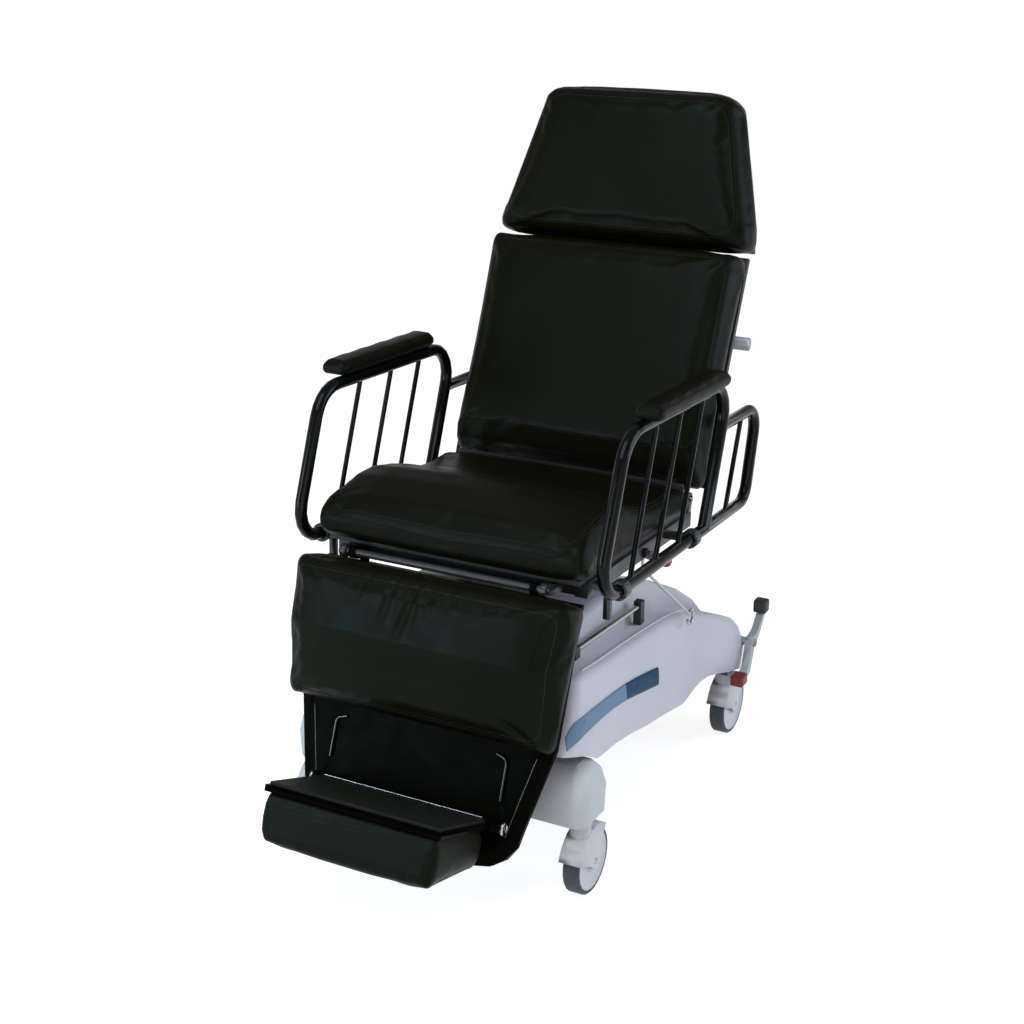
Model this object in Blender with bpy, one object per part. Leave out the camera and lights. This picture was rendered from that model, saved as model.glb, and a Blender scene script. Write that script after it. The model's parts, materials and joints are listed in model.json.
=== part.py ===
"""A stretcher chair: a wheeled hospital chair that lifts, reclines and opens out flat.

Metres, +Z up. The chair faces -Y and the occupant's left is +X. Heights in this file are
measured from the underside of the base frame, where the casters are fitted, and the whole
chair is raised at the end so that its wheels stand on Z = 0.
"""

import math

import bmesh
import bpy
from mathutils import Vector
from mathutils.bvhtree import BVHTree

# Clearances
SEAT_GAP = 0.0003
RUN_GAP = 0.0006
MOVE_GAP = 0.002

# Casters
WHEEL_RADIUS = 0.0662
TYRE_WIDTH = 0.032
TYRE_DEPTH = 0.0085
HUB_DISH = 0.002
HOOD_SPACE = 0.003
HOOD_WALL = 0.004
CHEEK_WALL = 0.004
CHEEK_RADIUS = 0.018
COLLAR_HEIGHT = 0.017
COLLAR_RADIUS = 0.020
STEM_RADIUS = 0.010
AXLE_RADIUS = 0.006
CASTER_X = 0.291
FRONT_SWIVEL_Y = -0.268
REAR_SWIVEL_Y = 0.4625
TRAIL = 0.022

# Base frame
BEAM_HEIGHT = 0.050
BEAM_WIDTH = 0.050
BEAM_X = 0.130
FRONT_BEAM_Y = -0.225
FLOOR_PLATE = 0.020

# Brake
BRAKE_Y = 0.491
BRAKE_Z = 0.0646
BRAKE_SHAFT_RADIUS = 0.009
PEDAL_X = 0.3367
PEDAL_WIDTH = 0.016
PEDAL_PAD_WIDTH = 0.030
PEDAL_PAD_TALL = 0.030
PEDAL_PAD_LONG = 0.034

# Base shell
SHELL_WALL = 0.004
COVER_HEIGHT = 0.108
COVER_LOW = 0.001
POLE_RADIUS = 0.0055
POLE_X = 0.233
CLIP_HEIGHTS = (0.024, 0.048)
POLE_CLIP_YS = (-0.185, 0.110)
POLE_FRONT = -0.215
POLE_REAR = 0.126
COVER_HALF = 0.315
COVER_FRONT = -0.306
COVER_REAR = -0.190
COVER_CORNER = 0.028
COVER_NOSE = 0.026
COVER_SHARES = (0, 0.5, 1)
SHELL_FRONT = -0.320
SHELL_REAR = 0.536
SHELL_CORNER = 0.060
SHELL_NOSE = 0.022
COLUMN_HOLE_GAP = 0.006
SHELL_POST_YS = (-0.110, 0.320)
SIDE_SHARES = (
    0, 0.030, 0.055, 0.080, 0.110, 0.150, 0.235, 0.330, 0.450, 0.580,
    0.672, 0.697, 0.720, 0.753, 0.787, 0.823, 0.871, 0.938, 1,
)
# Half width, lower edge, shoulder and crest of the shell, each as (y, value) points
SHELL_HALF = (
    (-0.3, 0.292), (-0.2, 0.29), (-0.1, 0.2845), (0.01, 0.279), (0.14, 0.2785),
    (0.23, 0.28), (0.27, 0.2835), (0.32, 0.2945), (0.36, 0.3035), (0.395, 0.3105),
    (0.44, 0.3165), (0.49, 0.32),
)
SHELL_LOW = (
    (-0.31, 0.15), (-0.27, 0.134), (-0.24, 0.119), (-0.22, 0.108), (-0.205, 0.098),
    (-0.19, 0.0915), (-0.16, 0.089), (-0.095, 0.08), (-0.024, 0.064), (0.067, 0.0415),
    (0.164, 0.0243), (0.232, 0.011), (0.25, 0.0105), (0.266, 0.0155), (0.292, 0.0285),
    (0.317, 0.0362), (0.344, 0.037), (0.38, 0.0285), (0.43, 0.0135), (0.471, 0.0033),
    (0.53, -0.008),
)
SHELL_SHOULDER = (
    (-0.23, 0.283), (-0.14, 0.269), (0.01, 0.248), (0.155, 0.232), (0.245, 0.217),
    (0.32, 0.192), (0.395, 0.158), (0.46, 0.126), (0.49, 0.112), (0.55, 0.09),
)
SHELL_CREST = ((-0.05, 0.325), (0.11, 0.315), (0.22, 0.286), (0.32, 0.236), (0.425, 0.180), (0.51, 0.124))

# Lift
COLUMN_X = 0.180
COLUMN_Y = 0.150
COLUMN_WALL = 0.005
COLUMN_SLIDE_GAP = 0.001
COLUMN_TOP = 0.334
LIFT_Y = 0.030
FLANGE_DROP = 0.0165
FLANGE_THICK = 0.008
CYLINDER_RADIUS = 0.030
LIFT_ROD_RADIUS = 0.020

# Deck: the plane of the seat frame, which leans back a little
DECK_Z = 0.4216
DECK_LEAN = math.radians(2.5)
PIN_RADIUS = 0.007
LUG_RADIUS = 0.0125
LUG_WIDTH = 0.012
KNEE_V = -0.262
KNEE_W = 0.006
HIP_V = 0.297
HIP_W = 0.035
RAIL_X = 0.2525
RAIL_WIDTH = 0.025
FRAME_TOP = 0.010
FRAME_LOW = -0.020
PAN_THICK = 0.009
PAD_HALF = 0.284
LEVER_V = 0.055
LEVER_W = -0.008
HOOK_X = 0.292
HOOK_Y = 0.239
HOOK_Z = 0.213
HOOK_EYE = 0.015
WIRE_RADIUS = 0.003

# Seat cushion
SEAT_FRONT = -0.262
SEAT_REAR = 0.249
SEAT_EDGE = 0.053
SEAT_ROLL = 0.047
SEAT_ROLL_V = -0.095

# Side arms
ARM_X = 0.317
ARM_RADIUS = 0.0125
BAR_RADIUS = 0.005
ARM_HEIGHT = 0.285
ARM_LEAN = math.radians(19)
ARM_FRONT = -0.275
ARM_REAR = 0.226
ARM_TAIL = 0.488
TAIL_HEIGHT = 0.196
BRACKET_VS = (-0.175, 0.160)
BRACKET_RADIUS = 0.0185
BRACKET_WIDTH = 0.022
ARM_PAD_X = 0.331
ARM_PAD_HALF = 0.028
ARM_PAD_THICK = 0.027
ARM_PAD_FRONT = -0.118
ARM_PAD_LENGTH = 0.350
ARM_BAR_VS = (-0.135, -0.020, 0.090)
ARM_TAIL_BAR_V = 0.342

# Back and head
BACK_LEAN = math.radians(24.5)
BOARD_THICK = 0.012
BOARD_FRONT = -0.020
BACK_START = 0.020
BACK_LENGTH = 0.483
BACK_THICK = 0.093
BACK_BEVEL = 0.040
BACK_BEVEL_LENGTH = 0.055
BACK_HALF = 0.286
HEAD_LEAN = math.radians(17.5)
HEAD_SETBACK = 0.047
HEAD_RISE = 0.016
HEAD_LENGTH = 0.315
HEAD_THICK = 0.093
HEAD_HALF = 0.288
HEAD_TOP_HALF = 0.226
HANDLE_U = 0.345
HANDLE_REACH = 0.098
HANDLE_RADIUS = 0.014
HANDLE_HALF = 0.285
BACK_FRAME_DEEP = 0.025
BACK_RAIL_X = 0.225
NECK_RISE = 0.002
NECK_LUG_X = 0.075
NECK_LUG_RADIUS = 0.0115
NECK_PIN_RADIUS = 0.006
HEAD_BOARD_REAR = -0.0175
HEAD_CORNER = 0.045

# Gas strut: both ends sit at one distance from the hip pin
STRUT_REACH = 0.160
STRUT_SEAT_ANGLE = math.radians(205)
STRUT_BACK_ANGLE = math.radians(-30)
STRUT_RADIUS = 0.011
STRUT_ROD_RADIUS = 0.005
STRUT_BODY = 0.148
STRUT_ROD_LENGTH = 0.143
STRUT_PIN_RADIUS = 0.005
STRUT_EYE_RADIUS = 0.010
STRUT_EYE_WIDTH = 0.012
STRUT_PLATE_X = 0.0125

# Leg rest and footrest, measured down the leg from the knee pin
LEG_LEAN = math.radians(22)
LEG_PAD_TOP = 0.017
LEG_PAD_BOTTOM = 0.284
LEG_CREASE = 0.140
LEG_FLARE = 0.006
LEG_THICK = 0.094
LEG_BACK = -0.034
PANEL_THICK = 0.018
PANEL_HALF = 0.268
PANEL_LOW_HALF = 0.232
PANEL_BOTTOM = 0.514
PANEL_CORNER = 0.080
FOOT_S = 0.4325
FOOT_N = -0.021
FOOT_DEPTH = 0.196
FOOT_HALF = 0.181
TRAY_THICK = 0.012
MAT_THICK = 0.006
FOOT_PAD_THICK = 0.099
GUIDE_X = 0.182
GUIDE_RADIUS = 0.004
KNEE_LUG_X = 0.184
FOOT_LUG_RADIUS = 0.011
FOOT_PIN_RADIUS = 0.006

WHEEL_DROP = WHEEL_RADIUS + HOOD_SPACE + HOOD_WALL + COLLAR_HEIGHT
FLANGE_TOP = DECK_Z - FLANGE_DROP
X_AXIS = Vector((1, 0, 0))


class Plane:
    """A tilted plane across the chair: u runs up it, n stands out of its front."""

    def __init__(self, y, z, lean):
        self.y = y
        self.z = z
        self.up = Vector((0, math.sin(lean), math.cos(lean)))
        self.front = Vector((0, -math.cos(lean), math.sin(lean)))

    def at(self, x, u, n):
        return Vector((x, self.y, self.z)) + u * self.up + n * self.front


deck = Plane(0, DECK_Z, DECK_LEAN)


def on_deck(x, v, w):
    """v runs back along the deck and w stands up from it."""
    return deck.at(x, w, -v)


KNEE = on_deck(0, KNEE_V, KNEE_W)
HIP = on_deck(0, HIP_V, HIP_W)
leg = Plane(KNEE.y, KNEE.z, LEG_LEAN)
back = Plane(HIP.y, HIP.z, BACK_LEAN)
NECK = back.at(0, BACK_START + BACK_LENGTH + NECK_RISE, -HEAD_SETBACK)
head = Plane(NECK.y, NECK.z, HEAD_LEAN)
FOOT_HINGE = leg.at(0, -FOOT_S, FOOT_N)


def down_leg(x, s, n):
    return leg.at(x, -s, n)


def clear_scene():
    for obj in list(bpy.data.objects):
        bpy.data.objects.remove(obj, do_unlink=True)


def finish(name, color, roughness, metallic=0.0):
    """A Principled material of one finish."""
    material = bpy.data.materials.new(name)
    material.use_nodes = True
    shader = material.node_tree.nodes["Principled BSDF"]
    shader.inputs["Base Color"].default_value = (*color, 1)
    shader.inputs["Roughness"].default_value = roughness
    shader.inputs["Metallic"].default_value = metallic
    return material


def pivot(name, place, parent=None):
    """An empty on a joint's axis, with no turn of its own."""
    empty = bpy.data.objects.new(name, None)
    bpy.context.scene.collection.objects.link(empty)
    empty["place"] = tuple(place)
    offset = Vector(parent["place"]) if parent else Vector()
    empty.location = Vector(place) - offset
    empty.parent = parent
    return empty


def piece(name, shape, carrier, material):
    """Makes a node of a bmesh that is drawn in the chair's frame, carried by a pivot."""
    bmesh.ops.recalc_face_normals(shape, faces=shape.faces)
    bmesh.ops.translate(shape, verts=shape.verts, vec=-Vector(carrier["place"]))
    mesh = bpy.data.meshes.new(name)
    shape.to_mesh(mesh)
    shape.free()
    mesh.shade_smooth()
    mesh.set_sharp_from_angle(angle=math.radians(35))
    mesh.materials.append(material)
    obj = bpy.data.objects.new(name, mesh)
    bpy.context.scene.collection.objects.link(obj)
    obj.parent = carrier
    return obj


def loft(rings, loop=False):
    """Skins equal rings of points. The ends are capped, or joined to each other in a loop."""
    shape = bmesh.new()
    rows = [[shape.verts.new(point) for point in ring] for ring in rings]
    if not loop:
        shape.faces.new(rows[0])
        shape.faces.new(rows[-1])
    pairs = list(zip(rows, rows[1:]))
    if loop:
        pairs.append((rows[-1], rows[0]))
    for first, second in pairs:
        for i in range(len(first)):
            j = (i + 1) % len(first)
            shape.faces.new((first[i], first[j], second[j], second[i]))
    bmesh.ops.recalc_face_normals(shape, faces=shape.faces)
    return shape


def prism(outline, x0, x1):
    """An outline of (y, z) points or vectors drawn out along X."""
    points = [(p.y, p.z) if isinstance(p, Vector) else p for p in outline]
    return loft([[Vector((x, y, z)) for y, z in points] for x in (x0, x1)])


def block(place, xs, vs, ws):
    """A box whose faces follow a plane, placed by that plane's own function."""
    corners = [(vs[0], ws[0]), (vs[1], ws[0]), (vs[1], ws[1]), (vs[0], ws[1])]
    return loft([[place(x, v, w) for v, w in corners] for x in xs])


def level(x, y, z):
    return Vector((x, y, z))


def ring(center, radius, count, side, across):
    """Points on a circle that is spanned by two unit vectors."""
    steps = [2 * math.pi * (i + 0.5) / count for i in range(count)]
    return [center + radius * (math.cos(a) * side + math.sin(a) * across) for a in steps]


def turned(profile, center, axis, count, loop=False):
    """Turns (distance along the axis, radius) points about an axis."""
    side = Vector((0, 1, 0)) if abs(axis.y) < 0.5 else Vector((1, 0, 0))
    across = axis.cross(side).normalized()
    side = across.cross(axis)
    return loft([ring(center + h * axis, r, count, side, across) for h, r in profile], loop)


def rod(start, end, radius, count=16):
    axis = (end - start).normalized()
    return turned([(0, radius), ((end - start).length, radius)], start, axis, count)


def rounded(points, radii, steps=5):
    """A path whose inner corners are arcs of the given radii."""
    path = [points[0]]
    for before, corner, after, radius in zip(points, points[1:], points[2:], radii):
        one = (before - corner).normalized()
        two = (after - corner).normalized()
        half = one.angle(two) / 2
        middle = corner + (one + two).normalized() * radius / math.sin(half)
        start = corner + one * radius / math.tan(half) - middle
        end = corner + two * radius / math.tan(half) - middle
        turn = start.angle(end)
        for i in range(steps + 1):
            k = i / steps
            lean = (math.sin((1 - k) * turn) * start + math.sin(k * turn) * end) / math.sin(turn)
            path.append(middle + lean)
    path.append(points[-1])
    return path


def tube(path, radius, count, side):
    """A round bar along a path; side is a vector that the path never runs along."""
    rings = []
    for i, point in enumerate(path):
        ahead = path[min(i + 1, len(path) - 1)] - point
        behind = point - path[max(i - 1, 0)]
        along = (ahead.normalized() + behind.normalized()).normalized()
        across = along.cross(side).normalized()
        rings.append(ring(point, radius, count, across.cross(along).normalized(), across))
    return loft(rings)


def combine(operation, base, *tools):
    """Joins tools to a shape, or cuts them out of it, with Boolean modifiers."""
    holders = []
    for shape in (base, *tools):
        bmesh.ops.recalc_face_normals(shape, faces=shape.faces)
        mesh = bpy.data.meshes.new("shape")
        shape.to_mesh(mesh)
        shape.free()
        holder = bpy.data.objects.new("shape", mesh)
        bpy.context.scene.collection.objects.link(holder)
        holders.append(holder)
    for tool in holders[1:]:
        modifier = holders[0].modifiers.new("join", "BOOLEAN")
        modifier.operation = operation
        modifier.object = tool
        modifier.solver = "EXACT"
    graph = bpy.context.evaluated_depsgraph_get()
    result = bmesh.new()
    result.from_mesh(holders[0].evaluated_get(graph).data)
    for holder in holders:
        bpy.data.objects.remove(holder, do_unlink=True)
    return result


def join(base, *tools):
    return combine("UNION", base, *tools)


def cut(base, *tools):
    return combine("DIFFERENCE", base, *tools)


def mirrored(values):
    return [(-b, -a) for a, b in values] + list(values)


def clamp(value, low=0.0, high=1.0):
    return max(low, min(high, value))


def arc(center, radius, start, end, steps):
    """(y, z) points on a circle from one angle to another, in degrees."""
    turns = [math.radians(start + (end - start) * i / steps) for i in range(steps + 1)]
    return [(center[0] + radius * math.cos(a), center[1] + radius * math.sin(a)) for a in turns]


def padded(place, length, half, low, high, round_end, inner, soft=0.020, rise=0.010):
    """An upholstered pad: crowned sections, drawn in at its foot, with rounded ends.

    place(x, t, h) sets a point; half, low and high give each section's half width, foot and
    edge height at the distance t from its start.
    """
    ends = [0.06 * round_end, 0.35 * round_end, round_end]
    stations = ends + inner + [length - t for t in reversed(ends)]
    rings = []
    for t in stations:
        reach = clamp(min(t, length - t) / round_end)
        tuck = round_end * (1 - math.sqrt(1 - (1 - reach) ** 2))
        wide = half(t) - 0.6 * tuck
        foot = low(t) + 0.55 * tuck
        edge = high(t) - tuck
        tall = edge - foot
        crown = rise * reach
        edge_side = [
            (wide - 0.6 * soft, foot),
            (wide - 0.12 * soft, foot + 0.22 * tall),
            (wide, foot + 0.52 * tall),
            (wide - 0.18 * soft, foot + 0.80 * tall),
            (wide - 0.8 * soft, edge - 0.02 * tall),
            (0.72 * wide, edge + 0.55 * crown),
            (0.30 * wide, edge + crown),
        ]
        section = edge_side + [(-x, h) for x, h in reversed(edge_side)]
        rings.append([place(x, t, h) for x, h in section])
    return loft(rings)


clear_scene()

VINYL = finish("black_vinyl", (0.012, 0.014, 0.016), 0.42)
TUBE_BLACK = finish("gloss_black", (0.008, 0.009, 0.010), 0.18)
SHELL_WHITE = finish("white_moulding", (0.64, 0.62, 0.70), 0.42)
HOOD_WHITE = finish("caster_white", (0.60, 0.62, 0.64), 0.40)
TYRE_GREY = finish("tyre_slate", (0.030, 0.045, 0.052), 0.60)
STEEL = finish("bright_steel", (0.60, 0.61, 0.62), 0.25, 1.0)
DARK_STEEL = finish("painted_steel", (0.020, 0.021, 0.022), 0.45)
LEVER_GREY = finish("lever_grey", (0.42, 0.45, 0.50), 0.40)
RED = finish("red_rubber", (0.30, 0.022, 0.018), 0.55)
PEDAL_BLACK = finish("pedal_rubber", (0.020, 0.024, 0.018), 0.65)
BOARD_BLACK = finish("board_black", (0.018, 0.018, 0.020), 0.55)
MAT_BLACK = finish("mat_rubber", (0.022, 0.023, 0.024), 0.70)

chair = pivot("chair", (0, 0, 0))
lift = pivot("lift_axis", (0, LIFT_Y, COLUMN_TOP), chair)


def stem_places():
    return [
        (f"{end}_{side}", Vector((sign * CASTER_X, y, 0)))
        for end, y in (("front", FRONT_SWIVEL_Y), ("rear", REAR_SWIVEL_Y))
        for side, sign in (("left", 1), ("right", -1))
    ]


def make_base_frame(ceiling):
    """Welded steel beams that carry the casters, the lift, the brake shaft and the shell."""
    top = BEAM_HEIGHT
    half = BEAM_WIDTH / 2
    tip = FRONT_SWIVEL_Y - 0.8 * half
    front = block(
        level,
        (-CASTER_X - half + 0.013, CASTER_X + half - 0.013),
        (FRONT_BEAM_Y - half + 0.002, FRONT_BEAM_Y + half - 0.006),
        (0, top),
    )
    rear_half = CASTER_X + STEM_RADIUS + 0.007
    rear = block(
        level, (-rear_half, rear_half), (REAR_SWIVEL_Y - half - 0.004, BRAKE_Y + 0.0055), (0, top)
    )
    joined = [rear]
    for sign in (-1, 1):
        x = sign * CASTER_X
        joined.append(
            block(level, (x - 0.56 * half, x + 0.56 * half), (tip, FRONT_BEAM_Y), (0.001, top - 0.001))
        )
        x = sign * BEAM_X
        joined.append(
            block(level, (x - half, x + half), (FRONT_BEAM_Y, REAR_SWIVEL_Y), (0.001, top - 0.002))
        )
    joined.append(
        block(
            level,
            (-BEAM_X, BEAM_X),
            (LIFT_Y - COLUMN_Y / 2 - 0.030, LIFT_Y + COLUMN_Y / 2 + 0.030),
            (0.002, FLOOR_PLATE),
        )
    )
    ear_low = top - 0.010
    for x0, x1 in mirrored([(0.250, 0.262)]):
        ear = [(BRAKE_Y - 0.016, ear_low), (BRAKE_Y - 0.004, ear_low), *arc((BRAKE_Y, BRAKE_Z), 0.013, -60, 150, 6)]
        joined.append(prism(ear, x0, x1))
    for sign in (-1, 1):
        for y in SHELL_POST_YS:
            xs = sorted((sign * (BEAM_X - 0.012), sign * (BEAM_X + 0.012)))
            ys = (y - 0.010, y + 0.010)
            roof = min(ceiling(x, v) for x in xs for v in ys) - SEAT_GAP
            joined.append(block(level, xs, ys, (0.010, roof)))
    frame = join(front, *joined)
    holes = [rod(p - Vector((0, 0, 0.02)), p + Vector((0, 0, top + 0.02)), STEM_RADIUS + RUN_GAP) for _, p in stem_places()]
    shaft = Vector((0, BRAKE_Y, BRAKE_Z))
    holes.append(rod(shaft - 0.4 * X_AXIS, shaft + 0.4 * X_AXIS, BRAKE_SHAFT_RADIUS + RUN_GAP))
    piece("base_frame", cut(frame, *holes), chair, DARK_STEEL)


def caster_hood(stem):
    """A moulded fork: a band over the wheel's front and top between two cheeks down to the axle."""
    y = stem.y + TRAIL
    hub = (y, -WHEEL_DROP)
    reach = WHEEL_RADIUS + HOOD_SPACE
    half = TYRE_WIDTH / 2 + MOVE_GAP + CHEEK_WALL
    band = arc(hub, reach + HOOD_WALL, 162, 55, 10)
    cheek = arc(hub, CHEEK_RADIUS, 50, -170, 8)
    fork = prism(band + cheek, stem.x - half, stem.x + half)
    collar_low = -COLLAR_HEIGHT - 0.5 * COLLAR_RADIUS
    post = turned(
        [
            (collar_low, COLLAR_RADIUS),
            (-SEAT_GAP, COLLAR_RADIUS),
            (-SEAT_GAP, STEM_RADIUS),
            (BEAM_HEIGHT - 0.005, STEM_RADIUS),
        ],
        stem,
        Vector((0, 0, 1)),
        16,
    )
    center = Vector((stem.x, *hub))
    slot_half = TYRE_WIDTH / 2 + MOVE_GAP
    slot = turned([(-slot_half, reach), (slot_half, reach)], center, X_AXIS, 28)
    bore = rod(center - half * 2 * X_AXIS, center + half * 2 * X_AXIS, AXLE_RADIUS + SEAT_GAP)
    return cut(join(fork, post), slot, bore)


def make_casters():
    """Four swivel casters; each hood turns on its stem and each wheel on its axle."""
    for name, stem in stem_places():
        swivel = pivot(f"swivel_{name}", stem, chair)
        piece(f"caster_hood_{name}", caster_hood(stem), swivel, HOOD_WHITE)
        center = Vector((stem.x, stem.y + TRAIL, -WHEEL_DROP))
        spin = pivot(f"spin_{name}", center, swivel)
        half = TYRE_WIDTH / 2
        rim = WHEEL_RADIUS - TYRE_DEPTH
        soft = 0.3 * TYRE_DEPTH
        tyre = [
            (-half, rim),
            (half, rim),
            (half, WHEEL_RADIUS - soft),
            (half - soft, WHEEL_RADIUS),
            (soft - half, WHEEL_RADIUS),
            (-half, WHEEL_RADIUS - soft),
        ]
        piece(f"caster_tyre_{name}", turned(tyre, center, X_AXIS, 24, True), spin, TYRE_GREY)
        bore = AXLE_RADIUS + RUN_GAP
        face = rim - SEAT_GAP
        hub = [
            (-half, bore),
            (half, bore),
            (half, 2.4 * bore),
            (half - HUB_DISH, 2.7 * bore),
            (half - HUB_DISH, 0.86 * face),
            (half, 0.92 * face),
            (half, face),
            (-half, face),
            (-half, 0.92 * face),
            (HUB_DISH - half, 0.86 * face),
            (HUB_DISH - half, 2.7 * bore),
            (-half, 2.4 * bore),
        ]
        piece(f"caster_hub_{name}", turned(hub, center, X_AXIS, 24, True), spin, HOOD_WHITE)
        reach = half + MOVE_GAP + CHEEK_WALL
        axle = rod(center - reach * X_AXIS, center + reach * X_AXIS, AXLE_RADIUS)
        piece(f"caster_axle_{name}", axle, swivel, STEEL)


def make_brake():
    """A cross shaft with a rocking pedal outside each rear corner."""
    center = Vector((0, BRAKE_Y, BRAKE_Z))
    axis = pivot("brake_axis", center, chair)
    reach = PEDAL_X + PEDAL_WIDTH / 2 + 0.004
    shaft = rod(center - reach * X_AXIS, center + reach * X_AXIS, BRAKE_SHAFT_RADIUS)
    piece("brake_shaft", shaft, axis, STEEL)
    half = PEDAL_WIDTH / 2
    pad_half = PEDAL_PAD_WIDTH / 2
    upper = (BRAKE_Y + 0.062, BRAKE_Z + 0.049)
    heel = (BRAKE_Y - 0.022, BRAKE_Z - 0.056)
    toe = (BRAKE_Y - 0.047, BRAKE_Z - 0.0635)
    boss = BRAKE_SHAFT_RADIUS + 0.006
    outline = [
        *arc((BRAKE_Y, BRAKE_Z), boss, 160, 70, 4),
        (BRAKE_Y + 0.024, BRAKE_Z + 0.020),
        (upper[0] - half, upper[1]),
        (upper[0] + half, upper[1]),
        (BRAKE_Y + 0.034, BRAKE_Z + 0.008),
        *arc((BRAKE_Y, BRAKE_Z), boss, -20, -70, 3),
        (heel[0] + half, heel[1] - half),
        (toe[0], toe[1] - half),
        (toe[0], toe[1] + half),
        (heel[0] - half, heel[1] + half),
    ]
    for side, sign in (("left", 1), ("right", -1)):
        x = sign * PEDAL_X
        away = 0.02 * X_AXIS
        middle = center + x * X_AXIS
        hole = rod(middle - away, middle + away, BRAKE_SHAFT_RADIUS + SEAT_GAP)
        lever = cut(prism(outline, x - half, x + half), hole)
        piece(f"brake_lever_{side}", lever, axis, LEVER_GREY)
        wide = (x - pad_half, x + pad_half)
        top = upper[1] + SEAT_GAP
        black = block(level, wide, (upper[0] - 0.017, upper[0] + 0.011), (top, top + PEDAL_PAD_TALL))
        front = toe[0] - SEAT_GAP
        red = block(level, wide, (front - PEDAL_PAD_LONG, front), (toe[1] - 0.012, toe[1] + 0.013))
        for color, pad, material in (("black", black, PEDAL_BLACK), ("red", red, RED)):
            bmesh.ops.bevel(pad, geom=pad.edges, offset=0.005, segments=2, affect="EDGES", profile=0.5)
            piece(f"brake_pad_{color}_{side}", pad, axis, material)


def along(table, y):
    """Reads a table of (y, value) points, straight between them and level beyond its ends."""
    if y <= table[0][0]:
        return table[0][1]
    for (y0, a), (y1, b) in zip(table, table[1:]):
        if y <= y1:
            return a + (b - a) * (y - y0) / (y1 - y0)
    return table[-1][1]


def plan(front, wide, rear, corner, nose, shares):
    """Half of a moulding's plan, from its front middle round to its rear middle.

    wide(y) is the half width; nose and corner are the radii of its front and rear corners.
    """
    edge = wide(front)
    points = [(0, front), (0.35 * edge, front)]
    for i in range(5):
        a = math.radians(90 * i / 4)
        points.append((edge - nose * (1 - math.sin(a)), front + nose * (1 - math.cos(a))))
    return points + side_and_rear(front + nose + 0.012, wide, rear, corner, shares)


def side_and_rear(start, wide, rear, corner, shares):
    end = rear - corner
    points = []
    for share in shares:
        y = start + (end - start) * share
        points.append((wide(y), y))
    edge = wide(end)
    for turn in (15, 30, 45, 60, 75, 90):
        a = math.radians(turn)
        points.append((edge - corner * (1 - math.cos(a)), end + corner * math.sin(a)))
    points.append((0, rear))
    return points


def moulding(plans, heights):
    """A sheet through mirrored plans, each lifted by its own height rule, open at both ends."""
    shape = bmesh.new()
    rows = []
    for half, height in zip(plans, heights):
        whole = half + [(-x, y) for x, y in reversed(half[1:-1])]
        rows.append([shape.verts.new((x, y, height(y))) for x, y in whole])
    for low, high in zip(rows, rows[1:]):
        for i in range(len(low)):
            j = (i + 1) % len(low)
            shape.faces.new((low[i], low[j], high[j], high[i]))
    return shape, rows


def thickened(shape, wall):
    """Gives a sheet a wall on its inner side."""
    mesh = bpy.data.meshes.new("sheet")
    shape.to_mesh(mesh)
    shape.free()
    holder = bpy.data.objects.new("sheet", mesh)
    bpy.context.scene.collection.objects.link(holder)
    modifier = holder.modifiers.new("wall", "SOLIDIFY")
    modifier.thickness = wall
    modifier.offset = -1
    modifier.use_even_offset = False
    graph = bpy.context.evaluated_depsgraph_get()
    result = bmesh.new()
    result.from_mesh(holder.evaluated_get(graph).data)
    bpy.data.objects.remove(holder, do_unlink=True)
    return result


def make_shell():
    """The moulded cover over the base, with a ledge, a raised hump and a hole for the lift."""

    def wide(inset):
        return lambda y: along(SHELL_HALF, y) - inset

    def low(y):
        return along(SHELL_LOW, y)

    def shoulder(y):
        return along(SHELL_SHOULDER, y)

    def crest(y):
        return along(SHELL_CREST, y)

    def belt(y):
        return 0.5 * (low(y) + shoulder(y))

    def outline(back, inset, ahead):
        corner = SHELL_CORNER - 0.12 * inset
        front = SHELL_FRONT + back
        rear = SHELL_REAR - ahead
        return plan(front, wide(inset), rear, corner, SHELL_NOSE, SIDE_SHARES)

    hump = outline(0.100, 0.100, 0.120)
    hole_x = COLUMN_X / 2 + COLUMN_HOLE_GAP
    hole_y = COLUMN_Y / 2 + COLUMN_HOLE_GAP
    hole = []
    for x, y in hump:
        away = y - LIFT_Y
        shrink = min(hole_x / max(abs(x), 0.001), hole_y / max(abs(away), 0.001))
        hole.append((x * shrink, LIFT_Y + away * shrink))
    plans = [
        outline(0.0, 0.0, 0.0),
        outline(0.025, -0.003, -0.003),
        outline(0.048, 0.008, 0.006),
        outline(0.056, 0.022, 0.016),
        outline(0.068, 0.062, 0.073),
        outline(0.082, 0.078, 0.094),
        hump,
        hole,
    ]
    heights = [
        low,
        belt,
        lambda y: shoulder(y) - 0.016,
        shoulder,
        lambda y: shoulder(y) - 0.004,
        lambda y: crest(y) - 0.014,
        crest,
        crest,
    ]
    sheet, _ = moulding(plans, heights)
    surface = BVHTree.FromBMesh(sheet)
    walls = thickened(sheet, SHELL_WALL)
    shaft = Vector((0, BRAKE_Y, BRAKE_Z))
    holes = [
        rod(shaft + 0.24 * sign * X_AXIS, shaft + 0.36 * sign * X_AXIS, BRAKE_SHAFT_RADIUS + 0.004)
        for sign in (-1, 1)
    ]
    walls = cut(walls, *holes)
    inside = BVHTree.FromBMesh(walls)
    piece("base_shell", walls, chair, SHELL_WHITE)
    return surface, inside


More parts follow.
